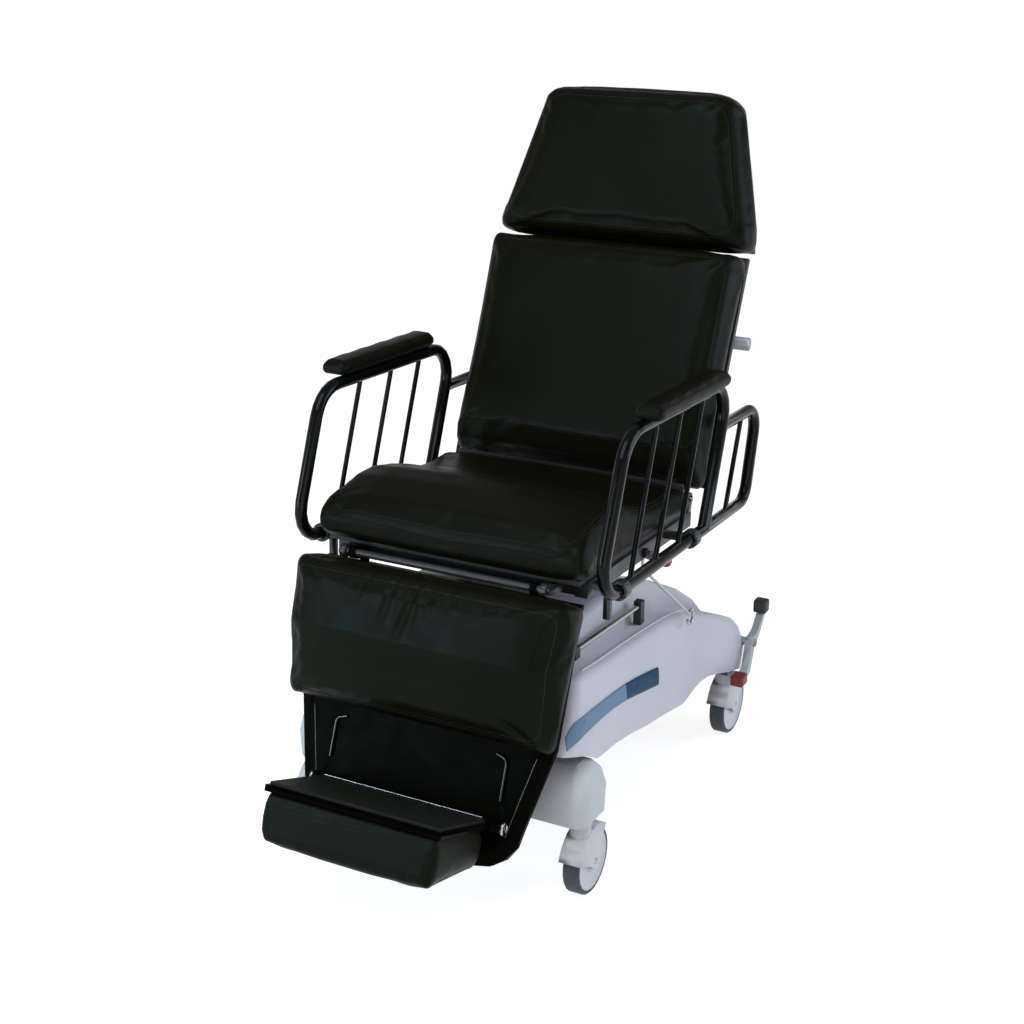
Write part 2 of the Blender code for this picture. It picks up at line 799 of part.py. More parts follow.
def make_front_cover():
    """The moulded cover across the two front casters, open below."""

    def rounded_box(inset):
        front = COVER_FRONT + inset
        rear = COVER_REAR - 1.1 * inset
        corner = COVER_CORNER - 0.6 * inset
        nose = COVER_NOSE - 0.6 * inset
        return plan(front, lambda y: COVER_HALF - inset, rear, corner, nose, COVER_SHARES)

    top = COVER_HEIGHT
    plans = [
        rounded_box(0.002),
        rounded_box(0.0),
        rounded_box(0.007),
        rounded_box(0.020),
        rounded_box(0.036),
    ]
    heights = [
        lambda y: COVER_LOW,
        lambda y: 0.50 * top,
        lambda y: 0.78 * top,
        lambda y: 0.93 * top,
        lambda y: top,
    ]
    sheet, rows = moulding(plans, heights)
    sheet.faces.new(rows[-1])
    walls = thickened(sheet, SHELL_WALL)
    reach = BEAM_X + BEAM_WIDTH / 2 + 0.003
    slot = block(level, (-reach, reach), (COVER_REAR - 0.018, COVER_REAR + 0.020), (COVER_LOW - 0.02, BEAM_HEIGHT - 0.002 + SEAT_GAP))
    piece("front_cover", cut(walls, slot), chair, HOOD_WHITE)


def make_pole(surface):
    """A stowed pole in two clips that stand on the shell's ledge."""
    centers = []
    for end, y, tall in zip(("front", "rear"), POLE_CLIP_YS, CLIP_HEIGHTS):
        xs = (POLE_X - 0.008, POLE_X + 0.008)
        ys = (y - 0.009, y + 0.009)
        spots = [(x, v) for x in (*xs, POLE_X) for v in (*ys, y)]
        hits = [surface.ray_cast(Vector((x, v, 1)), Vector((0, 0, -1)))[0] for x, v in spots]
        foot = max(hit.z for hit in hits) + SEAT_GAP
        centers.append((end, xs, ys, (foot, foot + tall), Vector((POLE_X, y, foot + tall - 0.010))))
    first = centers[0][4]
    run = (centers[1][4] - first).normalized()
    start = first + run * (POLE_FRONT - first.y) / run.y
    stop = first + run * (POLE_REAR - first.y) / run.y
    for end, xs, ys, zs, _ in centers:
        clip = block(level, xs, ys, zs)
        bore = rod(start, stop, POLE_RADIUS + SEAT_GAP)
        piece(f"pole_clip_{end}", cut(clip, bore), chair, PEDAL_BLACK)
    piece("accessory_pole", rod(start, stop, POLE_RADIUS, 14), chair, STEEL)


def rectangle(half_x, half_y, z):
    corners = ((-half_x, -half_y), (half_x, -half_y), (half_x, half_y), (-half_x, half_y))
    return [Vector((x, LIFT_Y + y, z)) for x, y in corners]


def make_lift():
    """Two rectangular columns, one sliding in the other, with a cylinder and rod inside."""
    foot = FLOOR_PLATE + SEAT_GAP
    x = COLUMN_X / 2
    y = COLUMN_Y / 2
    outer = [
        rectangle(x, y, foot),
        rectangle(x, y, COLUMN_TOP),
        rectangle(x - COLUMN_WALL, y - COLUMN_WALL, COLUMN_TOP),
        rectangle(x - COLUMN_WALL, y - COLUMN_WALL, foot),
    ]
    piece("column_outer", loft(outer, True), chair, SHELL_WHITE)
    x -= COLUMN_WALL + COLUMN_SLIDE_GAP
    y -= COLUMN_WALL + COLUMN_SLIDE_GAP
    ceiling = FLANGE_TOP - FLANGE_THICK - 0.002
    low = foot + 0.010
    inner = [
        rectangle(x - COLUMN_WALL, y - COLUMN_WALL, ceiling),
        rectangle(x - COLUMN_WALL, y - COLUMN_WALL, low),
        rectangle(x, y, low),
        rectangle(x, y, FLANGE_TOP - FLANGE_THICK),
        rectangle(x + 0.016, y + 0.016, FLANGE_TOP - FLANGE_THICK),
        rectangle(x + 0.016, y + 0.016, FLANGE_TOP),
    ]
    piece("column_inner", loft(inner), lift, LEVER_GREY)
    bore = LIFT_ROD_RADIUS + 0.001
    tall = COLUMN_TOP - foot
    barrel = [(0, CYLINDER_RADIUS), (tall, CYLINDER_RADIUS), (tall, bore), (0, bore)]
    upright = Vector((0, 0, 1))
    cylinder = turned(barrel, Vector((0, LIFT_Y, foot)), upright, 24, True)
    piece("lift_cylinder", cylinder, chair, DARK_STEEL)
    ram = rod(Vector((0, LIFT_Y, low + 0.005)), Vector((0, LIFT_Y, ceiling - SEAT_GAP)), LIFT_ROD_RADIUS, 24)
    piece("lift_rod", ram, lift, STEEL)


def strut_end(angle):
    return HIP + STRUT_REACH * Vector((0, math.cos(angle), math.sin(angle)))


def hung_plate(outline, place, x0, x1):
    """A plate whose outline is given in a plane's own two directions."""
    return loft([[place(x, a, b) for a, b in outline] for x in (x0, x1)])


def make_seat_frame():
    """Welded frame on the lift: rails, cross members, lugs for the pins, arm brackets."""
    rail = (RAIL_X - RAIL_WIDTH / 2, RAIL_X + RAIL_WIDTH / 2)
    right, left = [block(on_deck, xs, (-0.200, 0.290), (FRAME_LOW, FRAME_TOP)) for xs in mirrored([rail])]
    span = (-RAIL_X, RAIL_X)
    parts = [
        left,
        block(on_deck, span, (-0.198, -0.170), (FRAME_LOW + 0.002, FRAME_TOP - 0.002)),
        block(on_deck, span, (LIFT_Y - 0.072, LIFT_Y - 0.048), (-0.0095, FRAME_TOP - 0.004)),
        block(on_deck, span, (LIFT_Y + 0.048, LIFT_Y + 0.072), (-0.0095, FRAME_TOP - 0.004)),
        block(on_deck, span, (0.236, 0.262), (FRAME_LOW + 0.003, FRAME_TOP - 0.003)),
        block(on_deck, (-0.026, 0.026), (LIFT_Y + 0.060, 0.250), (-0.0090, FRAME_TOP - 0.005)),
    ]
    foot = FLANGE_TOP + SEAT_GAP
    fore = LIFT_Y - 0.078
    aft = LIFT_Y + 0.078
    saddle = [(fore, foot), (aft, foot), on_deck(0, aft, 0.003), on_deck(0, fore, 0.003)]
    parts.append(prism(saddle, -0.088, 0.088))
    knee = [*arc((KNEE_V, KNEE_W), LUG_RADIUS, 80, 280, 8), (-0.172, -0.015), (-0.172, 0.005)]
    knee.append((SEAT_FRONT + 0.033, 0.008))
    for x0, x1 in mirrored([(KNEE_LUG_X + LUG_WIDTH + 0.008, KNEE_LUG_X + 2 * LUG_WIDTH + 0.008)]):
        parts.append(hung_plate(knee, on_deck, x0, x1))
    hip = [(0.268, -0.012), (0.300, -0.012), *arc((HIP_V, HIP_W), LUG_RADIUS + 0.001, -10, 190, 8), (0.268, 0.0085)]
    for x0, x1 in mirrored([(RAIL_X - LUG_WIDTH / 2, RAIL_X + LUG_WIDTH / 2)]):
        parts.append(hung_plate(hip, on_deck, x0, x1))
    bores = []
    for sign in (-1, 1):
        x = sign * ARM_X
        for v in BRACKET_VS:
            xs = sorted((sign * RAIL_X, sign * (ARM_X - ARM_RADIUS)))
            parts.append(block(on_deck, xs, (v - 0.008, v + 0.008), (-0.007, 0.007)))
            half = BRACKET_WIDTH / 2
            parts.append(rod(on_deck(x, v - half, 0), on_deck(x, v + half, 0), BRACKET_RADIUS))
        bores.append(rod(on_deck(x, -0.25, 0), on_deck(x, 0.25, 0), ARM_RADIUS + 0.001))
        post = sorted((sign * 0.288, sign * 0.300))
        parts.append(block(on_deck, post, (BRACKET_VS[0] - 0.0065, BRACKET_VS[0] + 0.0065), (-0.060, 0.002)))
    end = strut_end(STRUT_SEAT_ANGLE)
    roof = DECK_Z - 0.010
    hanger = [(end.y - 0.016, roof), (end.y + 0.016, roof), *arc((end.y, end.z), LUG_RADIUS, 0, -180, 8)]
    parts.append(prism(hanger, STRUT_PLATE_X, STRUT_PLATE_X + 0.008))
    parts.append(rod(end - STRUT_PLATE_X * X_AXIS, end + (STRUT_PLATE_X + 0.004) * X_AXIS, STRUT_PIN_RADIUS))
    stub = on_deck(0, LEVER_V, LEVER_W)
    parts.append(rod(stub + RAIL_X * X_AXIS, stub + (rail[1] + 0.0125) * X_AXIS, STRUT_PIN_RADIUS))
    for center in (KNEE, HIP):
        bores.append(rod(center - 0.3 * X_AXIS, center + 0.3 * X_AXIS, PIN_RADIUS + SEAT_GAP))
    piece("seat_frame", cut(join(right, *parts), *bores), lift, DARK_STEEL)
    reach = KNEE_LUG_X + 2 * LUG_WIDTH + 0.012
    piece("knee_pin", rod(KNEE - reach * X_AXIS, KNEE + reach * X_AXIS, PIN_RADIUS), lift, DARK_STEEL)
    reach = RAIL_X + LUG_WIDTH / 2 + 0.004
    piece("hip_pin", rod(HIP - reach * X_AXIS, HIP + reach * X_AXIS, PIN_RADIUS), lift, STEEL)


def make_seat():
    """A pan with a rear lip on the frame, and a cushion with a raised roll and a falling nose."""
    low = FRAME_TOP + SEAT_GAP
    top = low + PAN_THICK
    half = PAD_HALF - 0.024
    rear = SEAT_REAR + 0.0055
    sheet = block(on_deck, (-half, half), (SEAT_FRONT + 0.036, rear), (low, top))
    lip = block(on_deck, (-half, half), (rear - 0.004, rear), (low, top + SEAT_EDGE + 0.005))
    piece("seat_pan", join(sheet, lip), lift, BOARD_BLACK)
    length = SEAT_REAR - SEAT_FRONT

    def roll(t):
        v = SEAT_FRONT + t - SEAT_ROLL_V
        spread = 0.150 if v < 0 else 0.118
        return SEAT_ROLL * math.exp(-((v / spread) ** 2))

    cushion = padded(
        lambda x, t, h: on_deck(x, SEAT_FRONT + t, h),
        length,
        lambda t: PAD_HALF - 0.006 * math.sin(math.pi * t / length),
        lambda t: top + SEAT_GAP,
        lambda t: top + SEAT_GAP + SEAT_EDGE + roll(t),
        0.034,
        [0.070, 0.115, 0.165, 0.215, 0.265, 0.320, 0.400],
    )
    piece("seat_cushion", cushion, lift, VINYL)


def make_arms():
    """Bent tube arms with thin bars; each swings out and down about its lower rail."""
    rise = ARM_HEIGHT * math.tan(ARM_LEAN)
    tail_rise = TAIL_HEIGHT * math.tan(ARM_LEAN)
    for side, sign in (("left", 1), ("right", -1)):
        x = sign * ARM_X
        swing = pivot(f"arm_axis_{side}", on_deck(x, 0, 0), lift)
        hoop = [
            on_deck(x, ARM_REAR, 0),
            on_deck(x, ARM_REAR + rise, ARM_HEIGHT),
            on_deck(x, ARM_FRONT + rise, ARM_HEIGHT),
            on_deck(x, ARM_FRONT, 0),
            on_deck(x, 0, 0),
        ]
        tail = [
            on_deck(x, -0.03, 0),
            on_deck(x, ARM_TAIL - 0.030, 0),
            on_deck(x, ARM_TAIL + 0.012, TAIL_HEIGHT),
            on_deck(x, ARM_REAR + tail_rise, TAIL_HEIGHT),
        ]
        bars = []
        for v in ARM_BAR_VS:
            bars.append(rod(on_deck(x, v, 0), on_deck(x, v + rise, ARM_HEIGHT), BAR_RADIUS, 8))
        v = ARM_TAIL_BAR_V
        bars.append(rod(on_deck(x, v, 0), on_deck(x, v + tail_rise, TAIL_HEIGHT), BAR_RADIUS, 8))
        rails = join(
            tube(rounded(hoop, (0.060, 0.075, 0.060)), ARM_RADIUS, 10, X_AXIS),
            tube(rounded(tail, (0.042, 0.045)), ARM_RADIUS - SEAT_GAP, 10, X_AXIS),
            *bars,
        )
        piece(f"arm_rail_{side}", rails, swing, TUBE_BLACK)
        low = ARM_HEIGHT + ARM_RADIUS + SEAT_GAP
        pad = padded(
            lambda px, t, h: on_deck(sign * ARM_PAD_X + px, ARM_PAD_FRONT + t, h),
            ARM_PAD_LENGTH,
            lambda t: ARM_PAD_HALF,
            lambda t: low,
            lambda t: low + ARM_PAD_THICK,
            0.014,
            [0.10, 0.20, 0.30],
            0.012,
            0.003,
        )
        piece(f"arm_pad_{side}", pad, swing, VINYL)


def make_hook_and_lever():
    """A bent wire hook under the left rail, and the release lever with its knob."""
    start = on_deck(RAIL_X, 0.078, FRAME_LOW - SEAT_GAP)
    eye = Vector((HOOK_X, HOOK_Y, HOOK_Z))
    circle = []
    for i in range(13):
        a = math.radians(130 - 25 * i)
        circle.append(eye + HOOK_EYE * Vector((0, math.cos(a), math.sin(a))))
    bend = start - Vector((0, 0, 0.030))
    path = rounded([start, bend, circle[0]], [0.018]) + circle[1:]
    piece("bag_hook", tube(path, WIRE_RADIUS, 8, Vector((1, 0, 0))), lift, STEEL)
    stub = on_deck(0, LEVER_V, LEVER_W)
    axis = pivot("lever_axis", stub, lift)
    tip = (LEVER_V + 0.055, LEVER_W - 0.028)
    turn = math.degrees(math.atan2(tip[1] - LEVER_W, tip[0] - LEVER_V))
    outline = arc((LEVER_V, LEVER_W), 0.010, turn + 90, turn + 270, 6) + arc(tip, 0.008, turn - 90, turn + 90, 6)
    inner = RAIL_X + RAIL_WIDTH / 2 + 0.0015
    outer = inner + 0.006
    away = 0.35 * X_AXIS
    bar = cut(
        hung_plate(outline, on_deck, inner, outer),
        rod(stub, stub + away, STRUT_PIN_RADIUS + RUN_GAP),
    )
    piece("release_lever", bar, axis, DARK_STEEL)
    profile = [(0, 0.006), (0.004, 0.0065), (0.008, 0.012), (0.016, 0.0135), (0.023, 0.011), (0.026, 0.005)]
    knob = turned(profile, on_deck(outer + SEAT_GAP, *tip), X_AXIS, 16)
    piece("release_knob", knob, axis, RED)


def make_back():
    """Tube frame, board, cushion and push handle, turning about the hip pin."""
    turn = pivot("hip_axis", HIP, lift)
    rear = BOARD_FRONT - BOARD_THICK - SEAT_GAP
    deep = rear - BACK_FRAME_DEEP
    thin = (deep + 0.002, rear - 0.002)
    top = BACK_START + BACK_LENGTH
    rail = (BACK_RAIL_X - 0.0125, BACK_RAIL_X + 0.0125)
    right, left = [block(back.at, xs, (0.028, top - 0.004), (deep, rear)) for xs in mirrored([rail])]
    span = (-BACK_RAIL_X, BACK_RAIL_X)
    parts = [left]
    for u0, u1 in ((0.036, 0.062), (HANDLE_U - 0.015, HANDLE_U + 0.015), (top - 0.040, top - 0.016)):
        parts.append(block(back.at, span, (u0, u1), thin))
    lug = [*arc((0, 0), LUG_RADIUS, 20, 225, 8), (0.030, deep + 0.0015), (0.060, deep + 0.0015)]
    lug += [(0.060, rear - 0.0025), (0.026, rear - 0.0025)]
    for x0, x1 in mirrored([(rail[1] - LUG_WIDTH - 0.001, rail[1] - 0.001)]):
        parts.append(hung_plate(lug, back.at, x0, x1))
    neck_u = top + NECK_RISE
    neck = [(top - 0.024, -HEAD_SETBACK + 0.0075), (top - 0.024, -HEAD_SETBACK - 0.0075)]
    neck += arc((neck_u, -HEAD_SETBACK), NECK_LUG_RADIUS, -70, 70, 8)
    for x0, x1 in mirrored([(NECK_LUG_X, NECK_LUG_X + LUG_WIDTH)]):
        parts.append(hung_plate(neck, back.at, x0, x1))
    end = strut_end(STRUT_BACK_ANGLE)
    arm = end - HIP
    u = arm.dot(back.up)
    n = arm.dot(back.front)
    toward = math.degrees(math.atan2(-0.046 - n, 0.049 - u))
    horn = [*arc((u, n), LUG_RADIUS, toward + 90, toward + 270, 8), (0.0605, -0.047), (0.038, -0.047)]
    parts.append(hung_plate(horn, back.at, STRUT_PLATE_X, STRUT_PLATE_X + 0.008))
    parts.append(rod(end - STRUT_PLATE_X * X_AXIS, end + (STRUT_PLATE_X + 0.004) * X_AXIS, STRUT_PIN_RADIUS))
    bores = [
        rod(HIP - 0.3 * X_AXIS, HIP + 0.3 * X_AXIS, PIN_RADIUS + RUN_GAP),
        rod(NECK - 0.2 * X_AXIS, NECK + 0.2 * X_AXIS, NECK_PIN_RADIUS + SEAT_GAP),
    ]
    piece("back_frame", cut(join(right, *parts), *bores), turn, DARK_STEEL)
    half = BACK_HALF - 0.010
    board = block(
        back.at, (-half, half), (BACK_START + 0.0075, top + 0.005), (BOARD_FRONT - BOARD_THICK, BOARD_FRONT)
    )
    piece("back_board", board, turn, BOARD_BLACK)

    def face(t):
        below = clamp(1 - t / BACK_BEVEL_LENGTH)
        return BOARD_FRONT + SEAT_GAP + BACK_THICK - BACK_BEVEL * below**1.5

    cushion = padded(
        lambda x, t, h: back.at(x, BACK_START + t, h),
        BACK_LENGTH,
        lambda t: BACK_HALF - 0.006 * math.sin(math.pi * t / BACK_LENGTH),
        lambda t: BOARD_FRONT + SEAT_GAP,
        face,
        0.026,
        [BACK_BEVEL_LENGTH, 0.095, 0.165, 0.240, 0.315, 0.385, 0.435],
    )
    piece("back_cushion", cushion, turn, VINYL)
    bar = rod(back.at(-HANDLE_HALF, HANDLE_U, -HANDLE_REACH), back.at(HANDLE_HALF, HANDLE_U, -HANDLE_REACH), HANDLE_RADIUS)
    legs = []
    for sign in (-1, 1):
        x = sign * BACK_RAIL_X
        legs.append(rod(back.at(x, HANDLE_U, deep - SEAT_GAP), back.at(x, HANDLE_U, -HANDLE_REACH), 0.010, 12))
    piece("push_handle", join(bar, *legs), turn, HOOD_WHITE)
    reach = NECK_LUG_X + 2 * LUG_WIDTH + 0.006
    piece("neck_pin", rod(NECK - reach * X_AXIS, NECK + reach * X_AXIS, NECK_PIN_RADIUS), turn, STEEL)
    return turn


def make_head(carrier):
    """The head section on its own pin behind the top of the back."""
    turn = pivot("neck_axis", NECK, carrier)
    rear = HEAD_BOARD_REAR
    front = rear + BOARD_THICK
    low = HEAD_RISE + 0.004
    high = HEAD_RISE + HEAD_LENGTH - 0.012
    outline = [
        (-HEAD_HALF + 0.014, low),
        (HEAD_HALF - 0.014, low),
        (HEAD_HALF - 0.020, low + 0.040),
        (HEAD_TOP_HALF - 0.014, high - 0.045),
        (HEAD_TOP_HALF - 0.055, high),
        (-HEAD_TOP_HALF + 0.055, high),
        (-HEAD_TOP_HALF + 0.014, high - 0.045),
        (-HEAD_HALF + 0.020, low + 0.040),
    ]
    board = loft([[head.at(x, u, n) for x, u in outline] for n in (rear, front)])
    bend = (HEAD_RISE - 0.002, front - 0.001)
    lug = [(0.060, rear + 0.009), bend, *arc((0, 0), NECK_LUG_RADIUS, 75, 320, 9), (0.060, rear + 0.003)]
    lugs = []
    for x0, x1 in mirrored([(NECK_LUG_X + LUG_WIDTH + 0.002, NECK_LUG_X + 2 * LUG_WIDTH + 0.002)]):
        lugs.append(hung_plate(lug, head.at, x0, x1))
    bore = rod(NECK - 0.2 * X_AXIS, NECK + 0.2 * X_AXIS, NECK_PIN_RADIUS + RUN_GAP)
    piece("head_board", cut(join(board, *lugs), bore), turn, BOARD_BLACK)

    def half(t):
        straight = HEAD_HALF - (HEAD_HALF - HEAD_TOP_HALF) * clamp((t - 0.035) / (HEAD_LENGTH - 0.075))
        past = clamp((t - HEAD_LENGTH + HEAD_CORNER) / HEAD_CORNER)
        return straight - HEAD_CORNER * (1 - math.sqrt(1 - 0.94 * past**2))

    cushion = padded(
        lambda x, t, h: head.at(x, HEAD_RISE + t, h),
        HEAD_LENGTH,
        half,
        lambda t: front + SEAT_GAP,
        lambda t: front + SEAT_GAP + HEAD_THICK,
        0.020,
        [0.050, 0.110, 0.170, 0.225, HEAD_LENGTH - HEAD_CORNER, HEAD_LENGTH - 0.6 * HEAD_CORNER],
    )
    piece("head_cushion", cushion, turn, VINYL)


def make_leg():
    """Panel with lugs, ears and foot guides, and a cushion with a crease across it."""
    turn = pivot("knee_axis", KNEE, lift)
    rear = LEG_BACK - PANEL_THICK
    corner = PANEL_BOTTOM - PANEL_CORNER
    edge = [(PANEL_HALF, 0.014), (PANEL_HALF, 0.280)]
    for a in (0, 22.5, 45, 67.5, 90):
        turn_a = math.radians(a)
        x = PANEL_LOW_HALF - PANEL_CORNER * (1 - math.cos(turn_a))
        edge.append((x, corner + PANEL_CORNER * math.sin(turn_a)))
    outline = edge + [(-x, s) for x, s in reversed(edge)]
    panel = loft([[down_leg(x, s, n) for x, s in outline] for n in (rear, LEG_BACK)])
    lug = [*arc((0, 0), LUG_RADIUS - 0.001, -10, 190, 8), (-0.0105, rear + 0.007), (0.005, rear + 0.0015)]
    lug += [(0.045, rear + 0.0015), (0.045, LEG_BACK - 0.003), (0.0115, LEG_BACK - 0.002)]
    parts = []
    for x0, x1 in mirrored([(KNEE_LUG_X, KNEE_LUG_X + LUG_WIDTH)]):
        parts.append(hung_plate(lug, down_leg, x0, x1))
    ear = [*arc((FOOT_S, FOOT_N), FOOT_LUG_RADIUS, 0, 180, 8)]
    ear += [(FOOT_S - 0.014, LEG_BACK - 0.004), (FOOT_S + 0.014, LEG_BACK - 0.004)]
    inner = FOOT_HALF + 0.010
    for x0, x1 in mirrored([(inner, inner + 0.010)]):
        parts.append(hung_plate(ear, down_leg, x0, x1))
    for sign in (-1, 1):
        n = LEG_BACK + 0.5 * GUIDE_RADIUS
        guide = [
            down_leg(sign * GUIDE_X, 0.387, n),
            down_leg(sign * GUIDE_X, 0.313, n),
            down_leg(sign * (GUIDE_X - 0.022), 0.307, n),
        ]
        parts.append(tube(rounded(guide, [0.010], 3), GUIDE_RADIUS, 8, leg.front))
    bores = [
        rod(KNEE - 0.3 * X_AXIS, KNEE + 0.3 * X_AXIS, PIN_RADIUS + RUN_GAP),
        rod(FOOT_HINGE - 0.3 * X_AXIS, FOOT_HINGE + 0.3 * X_AXIS, FOOT_PIN_RADIUS + SEAT_GAP),
    ]
    piece("leg_panel", cut(join(panel, *parts), *bores), turn, TUBE_BLACK)
    reach = inner + 0.013
    pin = rod(FOOT_HINGE - reach * X_AXIS, FOOT_HINGE + reach * X_AXIS, FOOT_PIN_RADIUS)
    piece("foot_pin", pin, turn, STEEL)

    def face(t):
        s = LEG_PAD_TOP + t
        upper = LEG_CREASE - LEG_PAD_TOP
        lower = LEG_PAD_BOTTOM - LEG_CREASE
        drop = 0.0065 * min(t, upper) / upper + 0.036 * max(0.0, s - LEG_CREASE) / lower
        return LEG_BACK + LEG_THICK - drop

    length = LEG_PAD_BOTTOM - LEG_PAD_TOP
    crease = LEG_CREASE - LEG_PAD_TOP
    cushion = padded(
        lambda x, t, h: down_leg(x, LEG_PAD_TOP + t, h),
        length,
        lambda t: PAD_HALF + LEG_FLARE * (1 - 2 * t / length),
        lambda t: LEG_BACK + SEAT_GAP,
        face,
        0.018,
        [0.045, 0.080, crease, 0.155, 0.200, 0.230],
    )
    piece("leg_cushion", cushion, turn, VINYL)
    return turn


def make_foot(carrier):
    """A folding tray with a mat on it and a padded block under it."""
    turn = pivot("foot_axis", FOOT_HINGE, carrier)
    top = FOOT_S - TRAY_THICK / 2
    low = FOOT_S + TRAY_THICK / 2
    tip = FOOT_N + FOOT_DEPTH
    barrel_half = FOOT_HALF + 0.008
    barrel = rod(FOOT_HINGE - barrel_half * X_AXIS, FOOT_HINGE + barrel_half * X_AXIS, FOOT_LUG_RADIUS - 0.0005)
    tray = join(block(down_leg, (-FOOT_HALF, FOOT_HALF), (top, low), (FOOT_N + 0.004, tip)), barrel)
    bore = rod(FOOT_HINGE - 0.3 * X_AXIS, FOOT_HINGE + 0.3 * X_AXIS, FOOT_PIN_RADIUS + RUN_GAP)
    piece("footrest_tray", cut(tray, bore), turn, TUBE_BLACK)
    half = FOOT_HALF - 0.006
    mat = block(down_leg, (-half, half), (top - SEAT_GAP - MAT_THICK, top - SEAT_GAP), (0.002, tip - 0.006))
    piece("footrest_mat", mat, turn, MAT_BLACK)
    start = 0.002
    length = tip - start
    pad = padded(
        lambda x, t, h: down_leg(x, h, start + t),
        length,
        lambda t: FOOT_HALF - 0.001,
        lambda t: low + SEAT_GAP,
        lambda t: low + SEAT_GAP + FOOT_PAD_THICK * (0.72 + 0.20 * t / length),
        0.012,
        [0.050, 0.090, 0.130],
        0.012,
        0.006,
    )
    piece("footrest_pad", pad, turn, VINYL)


def make_strut(carrier):
    """A gas strut from the seat frame to the horn of the back frame; the rod slides inside."""
    seat_end = strut_end(STRUT_SEAT_ANGLE)
    back_end = strut_end(STRUT_BACK_ANGLE)
    run = (back_end - seat_end).normalized()
    half = STRUT_EYE_WIDTH / 2 * X_AXIS
    pin = STRUT_PIN_RADIUS + RUN_GAP
    body = join(
        rod(seat_end + 0.004 * run, seat_end + STRUT_BODY * run, STRUT_RADIUS),
        rod(seat_end - half, seat_end + half, STRUT_EYE_RADIUS),
    )
    body = cut(
        body,
        rod(seat_end - 3 * half, seat_end + 3 * half, pin),
        rod(seat_end + 0.016 * run, seat_end + 2 * STRUT_BODY * run, STRUT_ROD_RADIUS + RUN_GAP),
    )
    axis = pivot("strut_axis", seat_end, lift)
    piece("gas_strut_cylinder", body, axis, DARK_STEEL)
    ram = join(
        rod(back_end - 0.004 * run, back_end - STRUT_ROD_LENGTH * run, STRUT_ROD_RADIUS),
        rod(back_end - half, back_end + half, STRUT_EYE_RADIUS),
    )
    ram = cut(ram, rod(back_end - 3 * half, back_end + 3 * half, pin))
    axis = pivot("strut_rod_axis", back_end, carrier)
    piece("gas_strut_rod", ram, axis, STEEL)


def stand_on_floor():
    """Moves the chair so that the middle of its footprint is the origin."""
    bpy.context.view_layer.update()
    points = []
    for obj in bpy.data.objects:
        if obj.type == "MESH":
            points += [obj.matrix_world @ vertex.co for vertex in obj.data.vertices]
    ys = [point.y for point in points]
    floor = min(point.z for point in points)
    chair.location = (0, -(min(ys) + max(ys)) / 2, -floor)
    bpy.context.view_layer.update()


ledge, inside = make_shell()
make_base_frame(lambda x, y: inside.ray_cast(Vector((x, y, 0.06)), Vector((0, 0, 1)))[0].z)
make_casters()
make_brake()
make_front_cover()
make_pole(ledge)
make_lift()
make_seat_frame()
make_seat()
make_arms()
make_hook_and_lever()
back_turn = make_back()
make_head(back_turn)
leg_turn = make_leg()
make_foot(leg_turn)
make_strut(back_turn)
stand_on_floor()
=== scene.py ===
import json
import math

import bmesh
import bpy
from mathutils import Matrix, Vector
from mathutils.bvhtree import BVHTree

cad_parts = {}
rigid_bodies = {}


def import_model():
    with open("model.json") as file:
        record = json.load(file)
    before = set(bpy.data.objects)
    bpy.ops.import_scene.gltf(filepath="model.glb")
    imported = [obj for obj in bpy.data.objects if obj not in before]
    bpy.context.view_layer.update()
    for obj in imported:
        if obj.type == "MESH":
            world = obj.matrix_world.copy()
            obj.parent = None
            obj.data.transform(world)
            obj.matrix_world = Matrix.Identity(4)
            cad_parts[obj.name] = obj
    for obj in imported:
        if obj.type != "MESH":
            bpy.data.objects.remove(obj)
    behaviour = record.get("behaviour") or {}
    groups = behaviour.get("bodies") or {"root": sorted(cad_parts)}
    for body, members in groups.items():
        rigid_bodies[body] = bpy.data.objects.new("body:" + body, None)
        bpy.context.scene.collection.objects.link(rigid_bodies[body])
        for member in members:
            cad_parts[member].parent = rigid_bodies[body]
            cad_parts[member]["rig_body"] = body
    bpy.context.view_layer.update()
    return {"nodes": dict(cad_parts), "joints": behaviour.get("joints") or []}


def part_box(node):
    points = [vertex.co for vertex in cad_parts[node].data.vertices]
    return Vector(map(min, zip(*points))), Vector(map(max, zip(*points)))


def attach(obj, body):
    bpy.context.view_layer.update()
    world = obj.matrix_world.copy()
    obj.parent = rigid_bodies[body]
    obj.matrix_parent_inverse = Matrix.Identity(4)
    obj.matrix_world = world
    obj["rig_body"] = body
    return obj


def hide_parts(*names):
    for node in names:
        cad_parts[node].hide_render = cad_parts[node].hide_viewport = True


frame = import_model()

# The view: a standing adult's eye in front of the chair, on the sitter's left (+x), with
# a long lens. The chair stands on a plain pale floor under soft lamps.
EYE = Vector((1.431, -2.7162, 1.7294))
YAW = math.radians(27.87)
PITCH = math.radians(19.94)
camera = bpy.data.cameras.new("eye")
camera.lens = 58.56
camera.sensor_width = 36
camera.clip_end = 60
watcher = bpy.data.objects.new("eye", camera)
watcher.location = EYE
watcher.rotation_euler = (math.pi / 2 - PITCH, 0, YAW)
bpy.context.scene.collection.objects.link(watcher)
bpy.context.scene.camera = watcher
bpy.context.scene.view_settings.view_transform = "Standard"


def lamp(name, place, aim, size, watts, colour):
    """A square soft lamp that faces a point."""
    light = bpy.data.lights.new(name, "AREA")
    light.shape = "SQUARE"
    light.size = size
    light.energy = watts
    light.color = colour
    held = bpy.data.objects.new(name, light)
    held.location = place
    held.rotation_euler = (Vector(aim) - Vector(place)).to_track_quat("-Z", "Y").to_euler()
    bpy.context.scene.collection.objects.link(held)


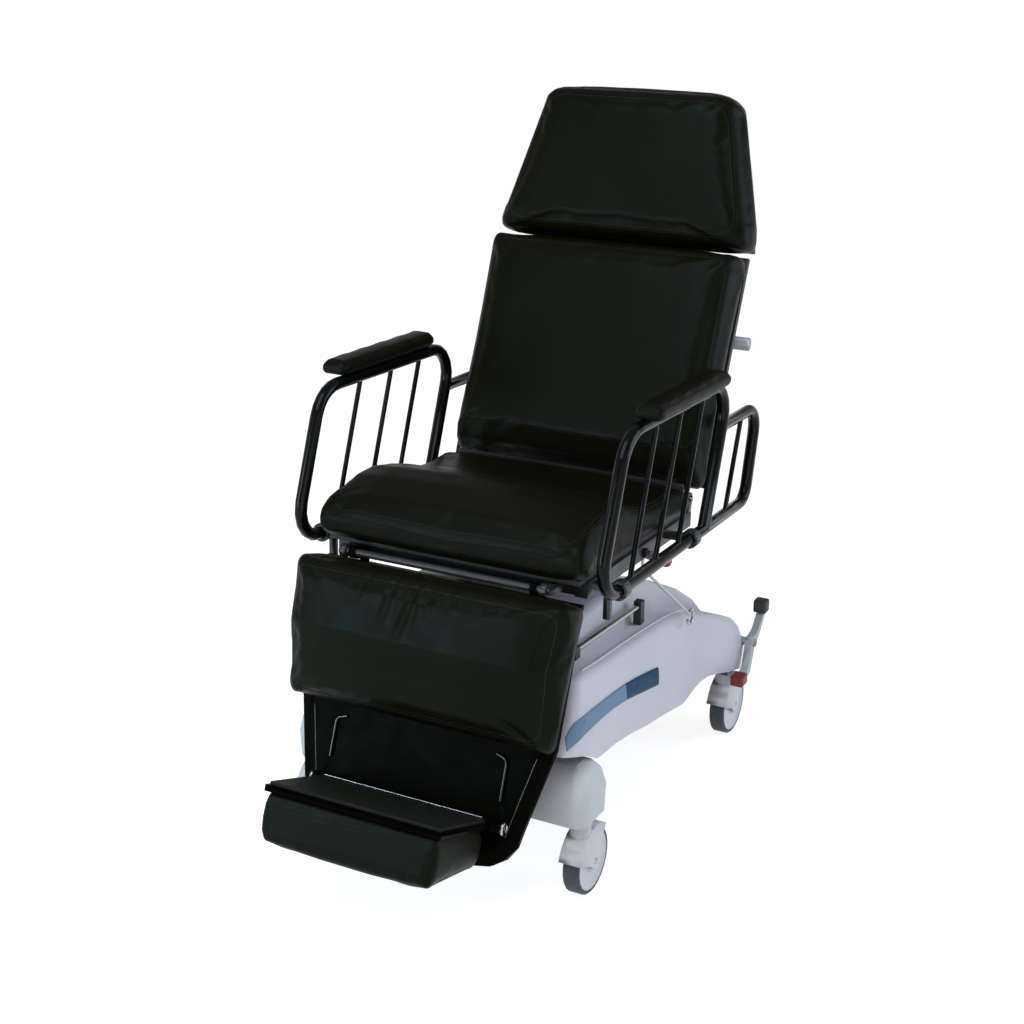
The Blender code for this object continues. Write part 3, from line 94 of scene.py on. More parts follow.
lamp("lamp_over", (0.1, -1.6, 3.3), (0, -0.2, 0.5), 2.2, 66, (0.88, 0.95, 1.0))
lamp("lamp_right", (3.0, 1.6, 1.5), (0, 0.1, 0.75), 1.8, 46, (0.70, 0.84, 1.0))
lamp("lamp_left", (-1.7, -3.1, 1.25), (0, -0.3, 0.5), 1.2, 46, (0.66, 0.86, 1.0))
lamp("lamp_front", (2.6, -3.0, 1.0), (0, 0, 0.4), 2.0, 22, (1.0, 0.97, 0.94))


def white_to_eye(tree, shaded, bright, out):
    """Shows the bright side to the lens, to mirrors and through glass, and the shaded one elsewhere."""
    path = tree.nodes.new("ShaderNodeLightPath")
    share = path.outputs["Is Camera Ray"]
    for ray in ("Is Glossy Ray", "Is Transmission Ray"):
        either = tree.nodes.new("ShaderNodeMath")
        either.operation = "MAXIMUM"
        tree.links.new(share, either.inputs[0])
        tree.links.new(path.outputs[ray], either.inputs[1])
        share = either.outputs[0]
    mix = tree.nodes.new("ShaderNodeMixShader")
    tree.links.new(share, mix.inputs[0])
    tree.links.new(shaded, mix.inputs[1])
    tree.links.new(bright, mix.inputs[2])
    tree.links.new(mix.outputs[0], out)


world = bpy.data.worlds.new("room")
world.use_nodes = True
bpy.context.scene.world = world
room = world.node_tree
dim = room.nodes["Background"]
dim.inputs["Color"].default_value = (0.92, 0.95, 1.0, 1)
dim.inputs["Strength"].default_value = 0.26
clear = room.nodes.new("ShaderNodeBackground")
clear.inputs["Color"].default_value = (1, 1, 1, 1)
seen = room.nodes.new("ShaderNodeLightPath")
compass = room.nodes.new("ShaderNodeTexCoord")
upward = room.nodes.new("ShaderNodeSeparateXYZ")
ceiling = room.nodes.new("ShaderNodeMapRange")
ceiling.inputs["From Min"].default_value = 0.02
ceiling.inputs["From Max"].default_value = 0.30
ceiling.inputs["To Min"].default_value = 1.0
ceiling.inputs["To Max"].default_value = 0.30
unmirrored = room.nodes.new("ShaderNodeMath")
unmirrored.operation = "SUBTRACT"
unmirrored.inputs[0].default_value = 1.0
brightest = room.nodes.new("ShaderNodeMath")
brightest.operation = "MAXIMUM"
room.links.new(compass.outputs["Generated"], upward.inputs[0])
room.links.new(upward.outputs["Z"], ceiling.inputs["Value"])
room.links.new(seen.outputs["Is Glossy Ray"], unmirrored.inputs[1])
room.links.new(unmirrored.outputs[0], brightest.inputs[0])
room.links.new(ceiling.outputs["Result"], brightest.inputs[1])
room.links.new(brightest.outputs[0], clear.inputs["Strength"])
room_out = room.nodes["World Output"].inputs["Surface"]
white_to_eye(room, dim.outputs[0], clear.outputs[0], room_out)

FLOOR = 9
floor_mesh = bpy.data.meshes.new("floor")
floor_corners = [(-FLOOR, -FLOOR, 0), (FLOOR, -FLOOR, 0), (FLOOR, FLOOR, 0), (-FLOOR, FLOOR, 0)]
floor_mesh.from_pydata(floor_corners, [], [(0, 1, 2, 3)])
floor = bpy.data.objects.new("floor", floor_mesh)
bpy.context.scene.collection.objects.link(floor)
floor_paint = bpy.data.materials.new("pale_floor")
floor_paint.use_nodes = True
tree = floor_paint.node_tree
tree.nodes["Principled BSDF"].inputs["Base Color"].default_value = (0.55, 0.55, 0.55, 1)
tree.nodes["Principled BSDF"].inputs["Roughness"].default_value = 0.85
glow = tree.nodes.new("ShaderNodeEmission")
glow.inputs["Strength"].default_value = 0.84
both = tree.nodes.new("ShaderNodeAddShader")
lit_floor = tree.nodes["Principled BSDF"].outputs[0]
tree.links.new(lit_floor, both.inputs[0])
tree.links.new(glow.outputs[0], both.inputs[1])
white_to_eye(tree, lit_floor, both.outputs[0], tree.nodes["Material Output"].inputs["Surface"])
floor_mesh.materials.append(floor_paint)


# The base frame is welded steel tube, shot-blasted and powder coated satin black.
# It shows from below and through the gap between the mouldings and the casters.
WELD = 0.00001
SLIVER = 0.000002


def finish_named(name, colour, rough, metal=0.0):
    """A new material: its tree, its shader, and the piece's own metres as coordinates."""
    made = bpy.data.materials.new(name)
    made.use_nodes = True
    shader = made.node_tree.nodes["Principled BSDF"]
    shader.inputs["Base Color"].default_value = (*colour, 1)
    shader.inputs["Roughness"].default_value = rough
    shader.inputs["Metallic"].default_value = metal
    place = made.node_tree.nodes.new("ShaderNodeTexCoord").outputs["Object"]
    return made, made.node_tree, shader, place


def speckle(tree, place, scale, detail=4.0):
    """Soft random marks of about 1/scale metres."""
    noise = tree.nodes.new("ShaderNodeTexNoise")
    noise.inputs["Scale"].default_value = scale
    noise.inputs["Detail"].default_value = detail
    tree.links.new(place, noise.inputs["Vector"])
    return noise.outputs["Fac"]


def cells(tree, place, scale):
    """The creases between small rounded grains, low in the creases and high on the grains."""
    grains = tree.nodes.new("ShaderNodeTexVoronoi")
    grains.feature = "DISTANCE_TO_EDGE"
    grains.inputs["Scale"].default_value = scale
    tree.links.new(place, grains.inputs["Vector"])
    return grains.outputs["Distance"]


def spread(tree, value, low, high, out, start=0.3, stop=0.7):
    """Maps the middle of a value's range onto low to high, into an input."""
    lane = tree.nodes.new("ShaderNodeMapRange")
    lane.inputs["From Min"].default_value = start
    lane.inputs["From Max"].default_value = stop
    lane.inputs["To Min"].default_value = low
    lane.inputs["To Max"].default_value = high
    tree.links.new(value, lane.inputs["Value"])
    tree.links.new(lane.outputs["Result"], out)


def mottled(tree, shader, place, dark, light, scale, detail=4.0):
    """Two shades of one colour, in soft patches of about 1/scale metres."""
    mix = tree.nodes.new("ShaderNodeMix")
    mix.data_type = "RGBA"
    first, second, mixed = mix.inputs[6], mix.inputs[7], mix.outputs[2]
    first.default_value = (*dark, 1)
    second.default_value = (*light, 1)
    spread(tree, speckle(tree, place, scale, detail), 0, 1, mix.inputs[0])
    tree.links.new(mixed, shader.inputs["Base Color"])


def worn(tree, shader, place, smooth, rough, scale):
    """Roughness that varies in soft patches of about 1/scale metres."""
    spread(tree, speckle(tree, place, scale), smooth, rough, shader.inputs["Roughness"])


def raise_by(tree, shader, height, metres, strength):
    """Bump of the shader's surface."""
    bump = tree.nodes.new("ShaderNodeBump")
    bump.inputs["Strength"].default_value = strength
    bump.inputs["Distance"].default_value = metres
    tree.links.new(height, bump.inputs["Height"])
    tree.links.new(bump.outputs["Normal"], shader.inputs["Normal"])


def powder_coat(name, dark, light, rough):
    """Powder paint: a fine orange peel, with a little dust in its shine."""
    made, tree, shader, place = finish_named(name, light, rough)
    mottled(tree, shader, place, dark, light, 14)
    worn(tree, shader, place, rough - 0.06, rough + 0.08, 60)
    raise_by(tree, shader, speckle(tree, place, 650, 2.0), 0.00025, 0.22)
    return made


def plain_mesh(source):
    """What an object's modifiers make of it, as a plain mesh."""
    graph = bpy.context.evaluated_depsgraph_get()
    return bpy.data.meshes.new_from_object(source.evaluated_get(graph), depsgraph=graph)


def skin_of(shown):
    """The surface of a shown piece, to find points on."""
    mesh = shown.data
    return BVHTree.FromPolygons([v.co for v in mesh.vertices], [p.vertices[:] for p in mesh.polygons])


def smooth_copy(node, material, crisp=38):
    """A welded, smoothly shaded copy of a rigid CAD piece, which then stands for it."""
    source = frame["nodes"][node]
    mesh = source.data.copy()
    mesh.name = f"shown_{node}"
    shape = bmesh.new()
    shape.from_mesh(mesh)
    bmesh.ops.remove_doubles(shape, verts=shape.verts, dist=WELD)
    bmesh.ops.dissolve_degenerate(shape, edges=shape.edges, dist=SLIVER)
    shape.to_mesh(mesh)
    shape.free()
    mesh.materials.clear()
    mesh.materials.append(material)
    mesh.polygons.foreach_set("use_smooth", [True] * len(mesh.polygons))
    mesh.set_sharp_from_angle(angle=math.radians(crisp))
    shown = bpy.data.objects.new(f"shown_{node}", mesh)
    bpy.context.scene.collection.objects.link(shown)
    flats = shown.modifiers.new("flats", "WEIGHTED_NORMAL")
    flats.keep_sharp = True
    flats.weight = 100
    shown.data = plain_mesh(shown)
    shown.modifiers.clear()
    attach(shown, source["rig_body"])
    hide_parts(node)
    return shown


frame_black = powder_coat("frame_black", (0.013, 0.0135, 0.0145), (0.020, 0.021, 0.023), 0.42)
smooth_copy("base_frame", frame_black, 30)


# The base shell is a one-piece moulding in cool white, with a ledge along each side
# and a hump round the lift. It is set down on posts of the base frame.
def moulding_white(name, dark, light, rough):
    """Moulded plastic with a fine spark texture and a faint flow in its colour."""
    made, tree, shader, place = finish_named(name, light, rough)
    mottled(tree, shader, place, dark, light, 5, 2.0)
    worn(tree, shader, place, rough - 0.05, rough + 0.07, 35)
    raise_by(tree, shader, speckle(tree, place, 900, 2.0), 0.00012, 0.20)
    return made


shell_white = moulding_white("shell_white", (0.590, 0.572, 0.645), (0.645, 0.627, 0.695), 0.34)
shell = smooth_copy("base_shell", shell_white, 34)


# A broad blue stripe of printed film is stuck along each flank of the shell. It starts on the
# rounded front corner and ends at a darker plate, which is left bare. Both follow the moulding.
STRIPE_LOW = [
    (0.2813, -0.3345, 0.3169),
    (0.2888, -0.3237, 0.3267),
    (0.2934, -0.3047, 0.3330),
    (0.2929, -0.2619, 0.3333),
    (0.2924, -0.2180, 0.3325),
    (0.2893, -0.1582, 0.3256),
    (0.2855, -0.0885, 0.3130),
]
STRIPE_HIGH = [
    (0.2759, -0.3280, 0.3395),
    (0.2799, -0.3224, 0.3518),
    (0.2838, -0.3160, 0.3627),
    (0.2917, -0.3024, 0.3700),
    (0.2919, -0.2611, 0.3679),
    (0.2883, -0.1929, 0.3592),
    (0.2852, -0.1371, 0.3517),
    (0.2826, -0.0885, 0.3438),
]
PLATE_LOW = [(0.2855, -0.0880, 0.3129), (0.2824, -0.0111, 0.2933), (0.2812, 0.0780, 0.2724)]
PLATE_HIGH = [(0.2826, -0.0880, 0.3437), (0.2798, -0.0075, 0.3277), (0.2796, 0.0780, 0.3093)]
FILM_LIFT = 0.0032
FILM_THICK = 0.0030
FILM_STEPS = 64
FILM_ROWS = 8
FINE_STEPS = 200
shell_skin = skin_of(shell)


def through(stations, share):
    """A point on a smooth line through stations; share runs from 0 to 1."""
    spots = [Vector(stations[0]), *(Vector(s) for s in stations), Vector(stations[-1])]
    at = share * (len(stations) - 1)
    i = min(int(at), len(stations) - 2)
    f = at - i
    a, b, c, d = spots[i : i + 4]
    bend = (2 * a - 5 * b + 4 * c - d) * f + (3 * (b - c) + d - a) * f * f
    return b + 0.5 * f * (c - a + bend)


def evenly(stations, count):
    """Points at equal distances along the line through stations."""
    fine = [through(stations, k / FINE_STEPS) for k in range(FINE_STEPS + 1)]
    reach = [0.0]
    for a, b in zip(fine, fine[1:]):
        reach.append(reach[-1] + (b - a).length)
    spots = []
    i = 0
    for k in range(count):
        goal = reach[-1] * k / (count - 1)
        while i < FINE_STEPS - 1 and reach[i + 1] < goal:
            i += 1
        spots.append(fine[i].lerp(fine[i + 1], (goal - reach[i]) / (reach[i + 1] - reach[i])))
    return spots


def film_on_flank(name, low_line, high_line, side, material):
    """A strip of film between two lines, pressed onto one flank of the shell."""
    shape = bmesh.new()
    rows = []
    for low, high in zip(evenly(low_line, FILM_STEPS), evenly(high_line, FILM_STEPS)):
        row = []
        for k in range(FILM_ROWS + 1):
            spot = low.lerp(high, k / FILM_ROWS)
            spot.x *= side
            hit, normal, _, _ = shell_skin.find_nearest(spot)
            row.append(shape.verts.new(hit + FILM_LIFT * math.copysign(1, normal.x * side) * normal))
        rows.append(row)
    for a, b in zip(rows, rows[1:]):
        for k in range(FILM_ROWS):
            quad = (a[k], b[k], b[k + 1], a[k + 1])
            shape.faces.new(quad if side > 0 else quad[::-1])
    mesh = bpy.data.meshes.new(name)
    shape.to_mesh(mesh)
    shape.free()
    mesh.materials.append(material)
    mesh.polygons.foreach_set("use_smooth", [True] * len(mesh.polygons))
    film = bpy.data.objects.new(name, mesh)
    bpy.context.scene.collection.objects.link(film)
    edge = film.modifiers.new("film", "SOLIDIFY")
    edge.thickness = FILM_THICK
    edge.offset = -1
    film.data = plain_mesh(film)
    film.modifiers.clear()
    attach(film, "base")


def printed_film(name, dark, light):
    """Printed film: an even colour that fades slightly, with a satin skin."""
    made, tree, shader, place = finish_named(name, light, 0.44)
    mottled(tree, shader, place, dark, light, 9, 3.0)
    worn(tree, shader, place, 0.40, 0.50, 80)
    shader.inputs["Specular IOR Level"].default_value = 0.06
    return made


stripe_blue = printed_film("stripe_blue", (0.165, 0.260, 0.385), (0.195, 0.295, 0.425))
plate_blue = printed_film("plate_blue", (0.003, 0.040, 0.100), (0.005, 0.052, 0.122))
for side, word in ((1, "left"), (-1, "right")):
    film_on_flank(f"stripe_{word}", STRIPE_LOW, STRIPE_HIGH, side, stripe_blue)
    film_on_flank(f"stripe_plate_{word}", PLATE_LOW, PLATE_HIGH, side, plate_blue)


# A fine rounded bead runs along the outer edge of each ledge of the shell. It is part of
# the moulding, and catches the light from above.
BEAD_RADIUS = 0.0024
BEAD_SUNK = 0.4
BEAD_STEPS = 60
LEDGE = [
    (0.2683, -0.250),
    (0.2645, -0.162),
    (0.2568, -0.012),
    (0.2566, 0.133),
    (0.2592, 0.223),
    (0.2680, 0.280),
]


def wire(name, spots, radius, material, body, looped=False):
    """A round wire through points, as a plain piece on a body."""
    curve = bpy.data.curves.new(f"{name}_line", "CURVE")
    curve.dimensions = "3D"
    curve.bevel_depth = radius
    curve.bevel_resolution = 2
    curve.use_fill_caps = not looped
    spline = curve.splines.new("POLY")
    spline.points.add(len(spots) - 1)
    for point, co in zip(spline.points, spots):
        point.co = (*co, 1)
    spline.use_cyclic_u = looped
    drawn = bpy.data.objects.new(f"{name}_line", curve)
    bpy.context.scene.collection.objects.link(drawn)
    mesh = plain_mesh(drawn)
    bpy.data.objects.remove(drawn)
    mesh.materials.clear()
    mesh.materials.append(material)
    mesh.polygons.foreach_set("use_smooth", [True] * len(mesh.polygons))
    mesh.set_sharp_from_angle(angle=math.radians(60))
    made = bpy.data.objects.new(name, mesh)
    bpy.context.scene.collection.objects.link(made)
    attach(made, body)
    return made


for side, word in ((1, "left"), (-1, "right")):
    spots = []
    for spot in evenly([(side * x, y, 0) for x, y in LEDGE], BEAD_STEPS):
        top = shell_skin.ray_cast(Vector((spot.x, spot.y, 1)), Vector((0, 0, -1)))[0]
        spots.append(top - Vector((0, 0, BEAD_SUNK * BEAD_RADIUS)))
    wire(f"ledge_bead_{word}", spots, BEAD_RADIUS, shell_white, "base")


# The front cover is a second moulding, greyer and duller, clipped over the front beam
# so that it hides the two front swivels.
cover_grey = moulding_white("cover_grey", (0.530, 0.545, 0.570), (0.585, 0.600, 0.620), 0.40)
smooth_copy("front_cover", cover_grey, 60)


# Each caster is a moulded hood on a swivel, a rubber tyre on a moulded hub, and a plated
# axle. The tyre is turned: a flat tread with rounded shoulders.
CORNERS = ("front_left", "front_right", "rear_left", "rear_right")
hood_white = moulding_white("hood_white", (0.585, 0.590, 0.620), (0.640, 0.645, 0.675), 0.36)
hub_white = moulding_white("hub_white", (0.590, 0.585, 0.650), (0.650, 0.645, 0.705), 0.32)
tyre_slate, tree, shader, place = finish_named("tyre_slate", (0.030, 0.046, 0.054), 0.62)
mottled(tree, shader, place, (0.026, 0.040, 0.048), (0.038, 0.056, 0.064), 30)
worn(tree, shader, place, 0.55, 0.74, 220)
raise_by(tree, shader, speckle(tree, place, 1100, 2.0), 0.0002, 0.3)
bright_steel, tree, shader, place = finish_named("bright_steel", (0.36, 0.37, 0.385), 0.20, 1.0)
worn(tree, shader, place, 0.15, 0.28, 45)
raise_by(tree, shader, speckle(tree, place, 700, 3.0), 0.00005, 0.12)
for corner in CORNERS:
    smooth_copy(f"caster_hood_{corner}", hood_white, 40)
    smooth_copy(f"caster_hub_{corner}", hub_white, 32)
    smooth_copy(f"caster_tyre_{corner}", tyre_slate, 40)
    smooth_copy(f"caster_axle_{corner}", bright_steel, 40)


# The brake: a steel shaft across the back of the base with a forged grey lever at each
# end. A black rubber pad locks the casters and a red one frees them.
lever_grey = powder_coat("lever_grey", (0.38, 0.40, 0.43), (0.45, 0.47, 0.50), 0.38)
pad_black, tree, shader, place = finish_named("pad_black", (0.020, 0.024, 0.018), 0.6)
mottled(tree, shader, place, (0.016, 0.020, 0.015), (0.026, 0.031, 0.024), 40)
worn(tree, shader, place, 0.52, 0.72, 300)
raise_by(tree, shader, cells(tree, place, 420), 0.0004, 0.35)
pad_red, tree, shader, place = finish_named("pad_red", (0.30, 0.022, 0.018), 0.5)
mottled(tree, shader, place, (0.15, 0.013, 0.011), (0.21, 0.019, 0.015), 40)
worn(tree, shader, place, 0.42, 0.62, 300)
raise_by(tree, shader, cells(tree, place, 420), 0.0004, 0.30)
smooth_copy("brake_shaft", lever_grey, 40)
for word in ("left", "right"):
    smooth_copy(f"brake_lever_{word}", lever_grey, 35)
    smooth_copy(f"brake_pad_black_{word}", pad_black, 35)
    smooth_copy(f"brake_pad_red_{word}", pad_red, 35)


# A plated pole lies along the left ledge (+x) in two black clips, and a bent wire hook
# hangs from the seat rail above it.
smooth_copy("accessory_pole", bright_steel, 40)
smooth_copy("pole_clip_front", pad_black, 35)
smooth_copy("pole_clip_rear", pad_black, 35)
smooth_copy("bag_hook", bright_steel, 60)


# The lift column telescopes out of the hump: two painted steel boxes with a hydraulic
# cylinder and its ground rod inside.
column_white = powder_coat("column_white", (0.60, 0.585, 0.66), (0.65, 0.635, 0.705), 0.36)
smooth_copy("column_outer", column_white, 35)
smooth_copy("column_inner", column_white, 35)
smooth_copy("lift_cylinder", frame_black, 35)
smooth_copy("lift_rod", bright_steel, 40)


# The seat frame is welded square tube with the pivot lugs, and a board is screwed on top.
smooth_copy("seat_frame", frame_black, 30)
board_black, tree, shader, place = finish_named("board_black", (0.018, 0.018, 0.020), 0.58)
mottled(tree, shader, place, (0.014, 0.014, 0.016), (0.023, 0.023, 0.026), 25)
worn(tree, shader, place, 0.5, 0.68, 120)
raise_by(tree, shader, cells(tree, place, 700), 0.0003, 0.3)
smooth_copy("seat_pan", board_black, 35)
smooth_copy("knee_pin", frame_black, 40)
for pin in ("hip_pin", "neck_pin", "foot_pin"):
    smooth_copy(pin, bright_steel, 40)
smooth_copy("release_lever", frame_black, 35)
smooth_copy("release_knob", pad_red, 50)


# The side arms are bent steel tube with thin bars welded between, in gloss black paint.
# They swing down on two brackets of the seat frame.
gloss_black, tree, shader, place = finish_named("gloss_black", (0.0030, 0.0034, 0.0036), 0.14)
shader.inputs["Specular IOR Level"].default_value = 0.12
worn(tree, shader, place, 0.10, 0.22, 28)
raise_by(tree, shader, speckle(tree, place, 500, 2.0), 0.00012, 0.12)
for word in ("left", "right"):
    smooth_copy(f"arm_rail_{word}", gloss_black, 50)


# Every pad is black vinyl drawn over foam on a board, smooth in the middle and pulled
# in at its sides. The cover swells a little where nothing holds it down.
def vinyl_cover(name, dark, light):
    """Upholstery vinyl: a fine pressed grain over a soft satin skin, whose shine carries a painted blue
    cast.
    """
    made, tree, shader, place = finish_named(name, light, 0.40)
    mottled(tree, shader, place, dark, light, 7, 3.0)
    worn(tree, shader, place, 0.36, 0.46, 26)
    grain = tree.nodes.new("ShaderNodeMath")
    grain.operation = "MULTIPLY_ADD"
    grain.inputs[1].default_value = 0.6
    tree.links.new(cells(tree, place, 620), grain.inputs[0])
    tree.links.new(speckle(tree, place, 1500, 2.0), grain.inputs[2])
    raise_by(tree, shader, grain.outputs[0], 0.00035, 0.22)
    shader.inputs["Specular IOR Level"].default_value = 0.07
    # The blue tint on the shine is painted light: it stands in for bluish light reflected on the cushions'
    # sides and tops, and is not a colour of the vinyl.
    shader.inputs["Specular Tint"].default_value = (0.60, 0.90, 1.0, 1)
    return made


vinyl_black = vinyl_cover("vinyl_black", (0.0040, 0.0041, 0.0006), (0.0056, 0.0057, 0.0014))


PULL_IN = 0.5
PUSH_OUT = -0.51


def relaxed(mesh, rounds, keep):
    """Evens out the facets of a fine mesh. keep(co) is how firmly a point is held, 0 to 1."""
    shape = bmesh.new()
    shape.from_mesh(mesh)
    shape.verts.ensure_lookup_table()
    around = [[e.other_vert(v).index for e in v.link_edges] for v in shape.verts]
    firm = [keep(v.co) for v in shape.verts]
    places = [v.co.copy() for v in shape.verts]
    for step in range(2 * rounds):
        pull = PULL_IN if step % 2 == 0 else PUSH_OUT
        moved = []
        for i, near in enumerate(around):
            middle = Vector((0, 0, 0))
            for k in near:
                middle += places[k]
            moved.append(places[i].lerp(middle / len(near), pull * (1 - firm[i])))
        places = moved
    for v, co in zip(shape.verts, places):
        v.co = co
    shape.to_mesh(mesh)
    shape.free()


SETTLE = 5
SWELL_FRAMES = 20
HELD_FULL = 0.008
HELD_FREE = 0.030


def upholstered(node, voxel, swell, cap, rest, up, rounds=6, folds=None):
    """A padded cover over a CAD pad. rest and up give the board that it lies on."""
    source = frame["nodes"][node]
    mesh = source.data.copy()
    shape = bmesh.new()
    shape.from_mesh(mesh)
    bmesh.ops.remove_doubles(shape, verts=shape.verts, dist=WELD)
    shape.to_mesh(mesh)
    shape.free()
    pad = bpy.data.objects.new(f"cover_{node}", mesh)
    bpy.context.scene.collection.objects.link(pad)
    even = pad.modifiers.new("even", "REMESH")
    even.mode = "VOXEL"
    even.voxel_size = voxel
    fine = plain_mesh(pad)
    pad.modifiers.clear()
    pad.data = fine

    def firm(co):
        return 1.0 if (co - rest).dot(up) < HELD_FULL else 0.0

    relaxed(fine, rounds, firm)
    start = [v.co.copy() for v in fine.vertices]
    held = pad.vertex_groups.new(name="held")
    for v in fine.vertices:
        height = (v.co - rest).dot(up)
        grip = (HELD_FREE - height) / (HELD_FREE - HELD_FULL)
        held.add([v.index], max(0.0, min(1.0, grip)), "REPLACE")
    cloth = pad.modifiers.new("cover", "CLOTH")
    cloth.settings.vertex_group_mass = "held"
    cloth.settings.use_pressure = True
    cloth.settings.uniform_pressure_force = swell
    cloth.settings.effector_weights.gravity = 0
    cloth.settings.mass = 0.4
    cloth.settings.tension_stiffness = 25
    cloth.settings.bending_stiffness = 3
    cloth.settings.quality = 4
    cloth.collision_settings.use_collision = False
    cloth.point_cache.frame_start = 1
    cloth.point_cache.frame_end = SWELL_FRAMES
    for step in range(1, SWELL_FRAMES + 1):
        bpy.context.scene.frame_set(step)
    swollen = plain_mesh(pad)
    pad.modifiers.clear()
    pad.vertex_groups.clear()
    for v, now, before in zip(fine.vertices, swollen.vertices, start):
        way = now.co - before
        v.co = before + way * min(1.0, cap / max(way.length, 1e-9))
    relaxed(fine, SETTLE, firm)
    bpy.context.scene.frame_set(1)
    fine.materials.clear()
    fine.materials.append(vinyl_black)
    fine.polygons.foreach_set("use_smooth", [True] * len(fine.polygons))
    softer = pad.modifiers.new("softer", "SUBSURF")
    softer.levels = 1
    softer.render_levels = 1
    pad.data = plain_mesh(pad)
    pad.modifiers.clear()
    if folds:
        folds(pad.data)
    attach(pad, source["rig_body"])
    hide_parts(node)
    return pad


# The covers are sewn: a welt runs round the face of each cushion, with a row of
# thread stitches beside it that holds the seam allowance down.
WELT_RADIUS = 0.0013
STITCH_PITCH = 0.0056
STITCH_LENGTH = 0.0038
STITCH_WIDTH = 0.0009
STITCH_INSET = 0.0055
WELT_SUNK = 0.0004
CORNER_STEPS = 8
PATH_STEP = 0.005
REACH = 0.5
thread_black, tree, shader, place = finish_named("thread_black", (0.014, 0.015, 0.016), 0.6)
mottled(tree, shader, place, (0.008, 0.009, 0.009), (0.020, 0.022, 0.023), 900)
raise_by(tree, shader, speckle(tree, place, 3000, 2.0), 0.0001, 0.4)


def take(tree, name, kind, value=None):
    """A named input of a node tree, and the name that its modifier knows it by."""
    socket = tree.interface.new_socket(name=name, in_out="INPUT", socket_type=kind)
    if value is not None:
        socket.default_value = value
    return socket.identifier


def grown(name, mesh, tree, values, body):
    """Runs a node tree on a mesh, and keeps the result as a plain piece on a body."""
    made = bpy.data.objects.new(name, mesh)
    bpy.context.scene.collection.objects.link(made)
    nodes = made.modifiers.new("grown", "NODES")
    nodes.node_group = tree
    for socket, value in values.items():
        nodes[socket] = value
    made.data = plain_mesh(made)
    made.modifiers.clear()
    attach(made, body)
    return made


stitching = bpy.data.node_groups.new("stitching", "GeometryNodeTree")
take(stitching, "Path", "NodeSocketGeometry")
stitch_pitch = take(stitching, "Pitch", "NodeSocketFloat", 0.006)
stitch_size = take(stitching, "Stitch Size", "NodeSocketVector")
stitch_thread = take(stitching, "Thread", "NodeSocketMaterial")
stitching.interface.new_socket(name="Stitches", in_out="OUTPUT", socket_type="NodeSocketGeometry")
given = stitching.nodes.new("NodeGroupInput")
line = stitching.nodes.new("GeometryNodeMeshToCurve")
steps = stitching.nodes.new("GeometryNodeResampleCurve")
steps.mode = "LENGTH"
bead = stitching.nodes.new("GeometryNodeMeshUVSphere")
bead.inputs["Segments"].default_value = 6
bead.inputs["Rings"].default_value = 4
bead.inputs["Radius"].default_value = 0.5
along = stitching.nodes.new("GeometryNodeInputTangent")
turn = stitching.nodes.new("FunctionNodeAlignRotationToVector")
turn.axis = "X"
each = stitching.nodes.new("GeometryNodeInstanceOnPoints")
whole = stitching.nodes.new("GeometryNodeRealizeInstances")
dyed = stitching.nodes.new("GeometryNodeSetMaterial")
made = stitching.nodes.new("NodeGroupOutput")
stitching.links.new(given.outputs["Path"], line.inputs["Mesh"])
stitching.links.new(line.outputs["Curve"], steps.inputs["Curve"])
stitching.links.new(given.outputs["Pitch"], steps.inputs["Length"])
stitching.links.new(steps.outputs["Curve"], each.inputs["Points"])
stitching.links.new(bead.outputs["Mesh"], each.inputs["Instance"])
stitching.links.new(along.outputs["Tangent"], turn.inputs["Vector"])
stitching.links.new(turn.outputs["Rotation"], each.inputs["Rotation"])
stitching.links.new(given.outputs["Stitch Size"], each.inputs["Scale"])
stitching.links.new(each.outputs["Instances"], whole.inputs["Geometry"])
stitching.links.new(whole.outputs["Geometry"], dyed.inputs["Geometry"])
stitching.links.new(given.outputs["Thread"], dyed.inputs["Material"])
stitching.links.new(dyed.outputs["Geometry"], made.inputs["Stitches"])


def round_face(corners, inset, corner):
    """A closed line inside a four-sided face, with rounded corners, in even steps."""
    middle = sum((Vector(c) for c in corners), Vector((0, 0))) / len(corners)
    drawn = []
    for c in corners:
        c = Vector(c)
        inward = Vector((math.copysign(inset, c.x - middle.x), math.copysign(inset, c.y - middle.y)))
        drawn.append(c - inward)
    line = []
    for i, c in enumerate(drawn):
        before = (drawn[i - 1] - c).normalized() * corner
        after = (drawn[(i + 1) % len(drawn)] - c).normalized() * corner
        for k in range(CORNER_STEPS + 1):
            f = k / CORNER_STEPS
            line.append(c + before * (1 - f) ** 2 + after * f**2)
    even = []
    for a, b in zip(line, line[1:] + line[:1]):
        count = max(1, round((b - a).length / PATH_STEP))
        even += [a.lerp(b, k / count) for k in range(count)]
    return even


def laid_on(pad, line, start, up, front, sunk):
    """Drops a line in a cushion's own plane onto its cover."""
    skin = skin_of(pad)
    points = []
    for x, u in line:
        hit, normal, _, _ = skin.ray_cast(start + Vector((x, 0, 0)) + u * up + REACH * front, -front)
        if hit:
            points.append(hit - normal * sunk)
    return points


def sewn(pad, corners, inset, corner, start, up, front):
    """A welt round the face of a cushion, and stitches inside it."""
    name = pad.name.replace("cover_", "")
    body = pad["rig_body"]
    welt_path = laid_on(pad, round_face(corners, inset, corner), start, up, front, WELT_SUNK)
    wire(f"welt_{name}", welt_path, WELT_RADIUS, vinyl_black, body, True)
    row = laid_on(pad, round_face(corners, inset + STITCH_INSET, corner), start, up, front, 0.0)
    path = bpy.data.meshes.new(f"stitches_{name}")
    path.from_pydata(row, [(i, (i + 1) % len(row)) for i in range(len(row))], [])
    size = (STITCH_LENGTH, STITCH_WIDTH, STITCH_WIDTH)
    values = {stitch_pitch: STITCH_PITCH, stitch_size: size, stitch_thread: thread_black}
    grown(f"stitches_{name}", path, stitching, values, body)


